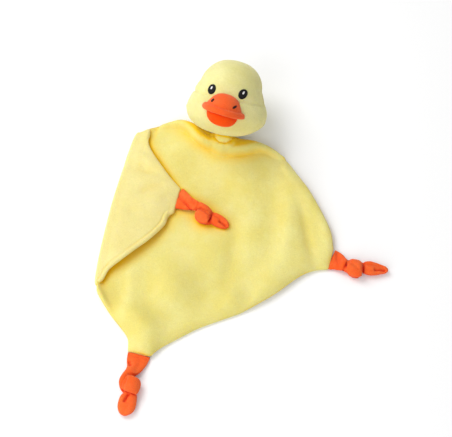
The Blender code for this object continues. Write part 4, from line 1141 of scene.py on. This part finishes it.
def stitched(name, at, oval, front, look):
    """An oval of satin stitches on a surface: threads run across it, and it domes in the middle."""
    size, tilt, stand_off, dome, pitch = oval
    turn = math.radians(tilt)
    count = OVAL_COUNTS[size[0] > LARGE_OVAL]
    steps = np.linspace(-1, 1, count)
    top, low = np.zeros((count, count, 3)), np.zeros((count, count, 3))
    about = (-NORMAL_REACH, 0, NORMAL_REACH)
    normal = unit(sum(front(at[0] + dx, at[1] + dz)[1] for dx in about for dz in about))
    for i, a in enumerate(steps):
        for j, b in enumerate(steps):
            x = a * math.sqrt(1 - b * b / 2) * size[0] / 2
            z = b * math.sqrt(1 - a * a / 2) * size[1] / 2
            far = min(1, math.hypot(2 * x / size[0], 2 * z / size[1]))
            strand = STITCH_RELIEF * math.cos(2 * math.pi * (z + STITCH_SLANT * x) / pitch)
            u = x * math.cos(turn) + z * math.sin(turn)
            v = z * math.cos(turn) - x * math.sin(turn)
            point, _ = front(at[0] + u, at[1] + v)
            share = math.sqrt(max(0, 1 - far**2))
            top[i, j] = point + normal * (stand_off * (share > 0) + (dome + strand) * share**DOME_POWER)
            low[i, j] = point - normal * STITCH_DEPTH
    obj = outward(piece("stitched_" + name, *pillow(top, low), look))
    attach(obj, "head")
    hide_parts(name)


def build_face(head, upper):
    on_head, on_bill = reader(head), reader(upper)
    roll = math.radians(MOUTH_ROLL)
    up = NOSTRIL_RISE_SHARE * UPPER_BILL[2]
    for label, way in (("left", -1), ("right", 1)):
        x, z = way * EYE_SPACING / 2 + EYE_SHIFT, EYE_RISE[way > 0]
        stitched(label + "_eye", (x, z), EYE, on_head, black_thread)
        shine = (x, z + HIGHLIGHT_RISE)
        stitched(label + "_eye_highlight", shine, HIGHLIGHT, on_head, white_thread)
        across = way * NOSTRIL_SPREAD_SHARE * UPPER_BILL[0] / 2
        x = MOUTH_SHIFT + across * math.cos(roll) + up * math.sin(roll)
        z = up * math.cos(roll) - across * math.sin(roll) - MOUTH_DROP
        stitched(label + "_nostril", (x, z), NOSTRIL, on_bill, brown_thread)


def round_rings(path, radius, count):
    rings = []
    up = np.array([0.3, 0.2, 1.0])
    a = circle(count)[:, None]
    for p, t in zip(path, np.gradient(path, axis=0)):
        t = unit(t)
        up = unit(up - t * np.dot(up, t))
        rings.append(p + radius * (np.cos(a) * up + np.sin(a) * np.cross(t, up)))
    return rings


def build_neck():
    """The gathered corner of the cloth and the thread that binds it."""
    at = head_turn.copy()
    at.translation = Vector(neck)
    levels, around = NECK_COUNTS
    (deep, many), (wavy, few) = NECK_PLEATS
    azimuth = circle(around)
    pleats = deep * (0.5 - 0.5 * np.cos(many * azimuth)) + wavy * np.cos(few * azimuth + 1)
    rings = []
    for polar in np.radians(np.linspace(*NECK_ENDS, levels)):
        waist = WAIST_DEPTH * bump(polar - math.pi / 2, WAIST_REACH)
        radius = NECK_RADIUS - waist - pleats * math.sin(polar)
        flat = radius * math.sin(polar)
        ring = [flat * np.cos(azimuth), flat * np.sin(azimuth), radius * math.cos(polar)]
        rings.append(np.stack(ring, axis=1))
    verts, faces = tube(rings)
    gathered = outward(piece("gathered_neck", in_frame(verts, at), faces, yellow))
    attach(gathered, "neck")
    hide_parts("neck_gather")
    in_turn, sides = THREAD_COUNTS
    turns = np.linspace(0, THREAD_TURNS, in_turn * THREAD_TURNS)
    radius = NECK_RADIUS - WAIST_DEPTH + THREAD_STAND_OFF
    rise = (turns - THREAD_TURNS / 2) * THREAD_PITCH
    a = 2 * math.pi * turns
    path = in_frame(np.stack([radius * np.cos(a), radius * np.sin(a), rise], axis=1), at)
    strand = outward(piece("binding_thread", *tube(round_rings(path, THREAD_RADIUS, sides)), yellow_thread))
    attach(strand, "neck")
    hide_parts("neck_thread")


# Knotted tags
def build_tag(name, place, heading, floor, body, route, creases, under=None):
    """A flat tube with an overhand knot, swept along its route; rounder where it crowds in the knot."""
    table = np.array(route, float)
    line = curve(table[:, :5] * MM, even(TAG_STATIONS))
    turned = curve(np.column_stack([table[:, :3] * MM, table[:, 5]]), even(TAG_STATIONS))[:, 3]
    a, b = np.cos(circle(TAG_SIDES)), np.sin(circle(TAG_SIDES))
    aside, above = (np.sign(v) * np.abs(v) ** TAG_SQUARENESS for v in (a, b))
    depth, pitch, reach = TAG_PUCKER
    rings = []
    for station, t, lean in zip(line, np.gradient(line[:, :3], axis=0), np.radians(turned)):
        p, (wide, thick) = station[:3], station[3:]
        t = unit(t)
        up = np.array([0, math.sin(lean), math.cos(lean)])
        up = unit(up - t * np.dot(up, t))
        across = wide * aside
        ring = p + across[:, None] * np.cross(up, t) + (thick * above)[:, None] * up
        sunk = depth * np.cos(2 * math.pi * across / pitch) * bump(p[0] - TAG_PUCKER_PLACE, reach)
        for start, end, deep, width in creases:
            away = from_line(ring[:, :2], np.array([start, end]) * MM)
            sunk = sunk + deep * MM * bump(away, width * MM)
        sunk = np.minimum(sunk, thick * CREASE_LIMIT_SHARE) * (b > CREASE_TOP) * up[2]
        rings.append(ring - up * sunk[:, None])
    turn = Matrix.Rotation(math.radians(heading), 4, "Z")
    turn.translation = (*plan(place), floor)
    verts, faces = tube(rings)
    points = in_frame(verts, turn)
    points[:, 2] = np.maximum(points[:, 2], GAP)
    if under:
        points[:, 2] += shortfall(points, under)
    obj = outward(piece("knotted_" + name, points, faces, orange))
    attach(obj, body)
    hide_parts(name)


# Floor, light and camera
def build_floor():
    """A pale floor that the camera sees a little brighter than its light makes it."""
    corners = [(-1, -1, 0), (1, -1, 0), (1, 1, 0), (-1, 1, 0)]
    inputs = {
        "Base Color": (FLOOR_TONE, FLOOR_TONE, FLOOR_TONE, 1),
        "Roughness": 0.8,
        "Specular IOR Level": 0.1,
        "Emission Color": (1, 1, 1, 1),
    }
    look, tree, shader, _ = material("table", inputs)
    seen = tree.nodes.new("ShaderNodeLightPath").outputs["Is Camera Ray"]
    wire(tree, shader, {"Emission Strength": combined(tree, "MULTIPLY", seen, FLOOR_LIFT)})
    piece("table", np.array(corners) * FLOOR_REACH, [(0, 1, 2, 3)], look)


def build_light():
    """A soft sky that is plain white where it is seen, and two large lamps."""
    world = bpy.data.worlds.new("studio")
    bpy.context.scene.world = world
    world.use_nodes = True
    tree = world.node_tree
    light = wire(tree, tree.nodes["Background"], {"Color": (1, 1, 1, 1), "Strength": SKY_STRENGTH})
    seen = add(tree, "Background", {"Color": (1, 1, 1, 1), "Strength": 1.0})
    path = tree.nodes.new("ShaderNodeLightPath").outputs
    direct = combined(tree, "MAXIMUM", path["Is Camera Ray"], path["Is Glossy Ray"])
    clear = combined(tree, "MAXIMUM", direct, path["Is Transmission Ray"])
    mix = add(tree, "MixShader", {"Fac": clear, 1: light.outputs[0], 2: seen.outputs[0]})
    wire(tree, tree.nodes["World Output"], {"Surface": mix.outputs[0]})
    for name, place, size, power in LAMPS:
        lamp = bpy.data.lights.new(name, "AREA")
        lamp.size = size
        lamp.energy = power
        holder = bpy.data.objects.new(name, lamp)
        bpy.context.scene.collection.objects.link(holder)
        holder.location = place
        holder.rotation_euler = (-Vector(place)).to_track_quat("-Z", "Y").to_euler()


def build_camera():
    lens = bpy.data.cameras.new("photograph")
    lens.sensor_width = SENSOR
    lens.lens = FOCAL_PIXELS / IMAGE_WIDTH * SENSOR
    camera = bpy.data.objects.new("photograph", lens)
    bpy.context.scene.collection.objects.link(camera)
    tilt = math.radians(VIEW_ELEVATION)
    camera.location = (middle[0], middle[1] - VIEW_DISTANCE * math.cos(tilt), VIEW_DISTANCE * math.sin(tilt))
    camera.rotation_euler = (math.pi / 2 - tilt, 0, 0)
    bpy.context.scene.camera = camera


build_floor()
build_light()
build_camera()
bpy.context.scene.view_settings.view_transform = "Standard"

cloth_top = surface(build_blanket())
build_flap(cloth_top)
head = build_head()
upper = bill("beak_upper", UPPER_BILL, UPPER_BILL_SHARES, 1, beak_orange, UPPER_CORNERS)
bill("beak_lower", LOWER_BILL, LOWER_BILL_SHARES, -1, bright_orange, LOWER_CORNERS)
build_face(head, upper)
build_neck()
tip_height = float(relief(plan(FLAP_TIP_SHARES)[None], beside=False)[0]) + LAYERS + GAP
for name, place, heading, floor, route, creases, under in (
    ("bottom_tag", BOTTOM_CORNER_SHARES, BOTTOM_TAG_HEADING, 0.0, BOTTOM_TAG, BOTTOM_CREASES, None),
    ("right_tag", RIGHT_CORNER_SHARES, RIGHT_TAG_HEADING, 0.0, RIGHT_TAG, RIGHT_CREASES, None),
    ("left_tag", FLAP_TIP_SHARES, LEFT_TAG_HEADING, tip_height, LEFT_TAG, LEFT_CREASES, cloth_top),
):
    build_tag(name, place, heading, floor, name + "_body", route, creases, under)
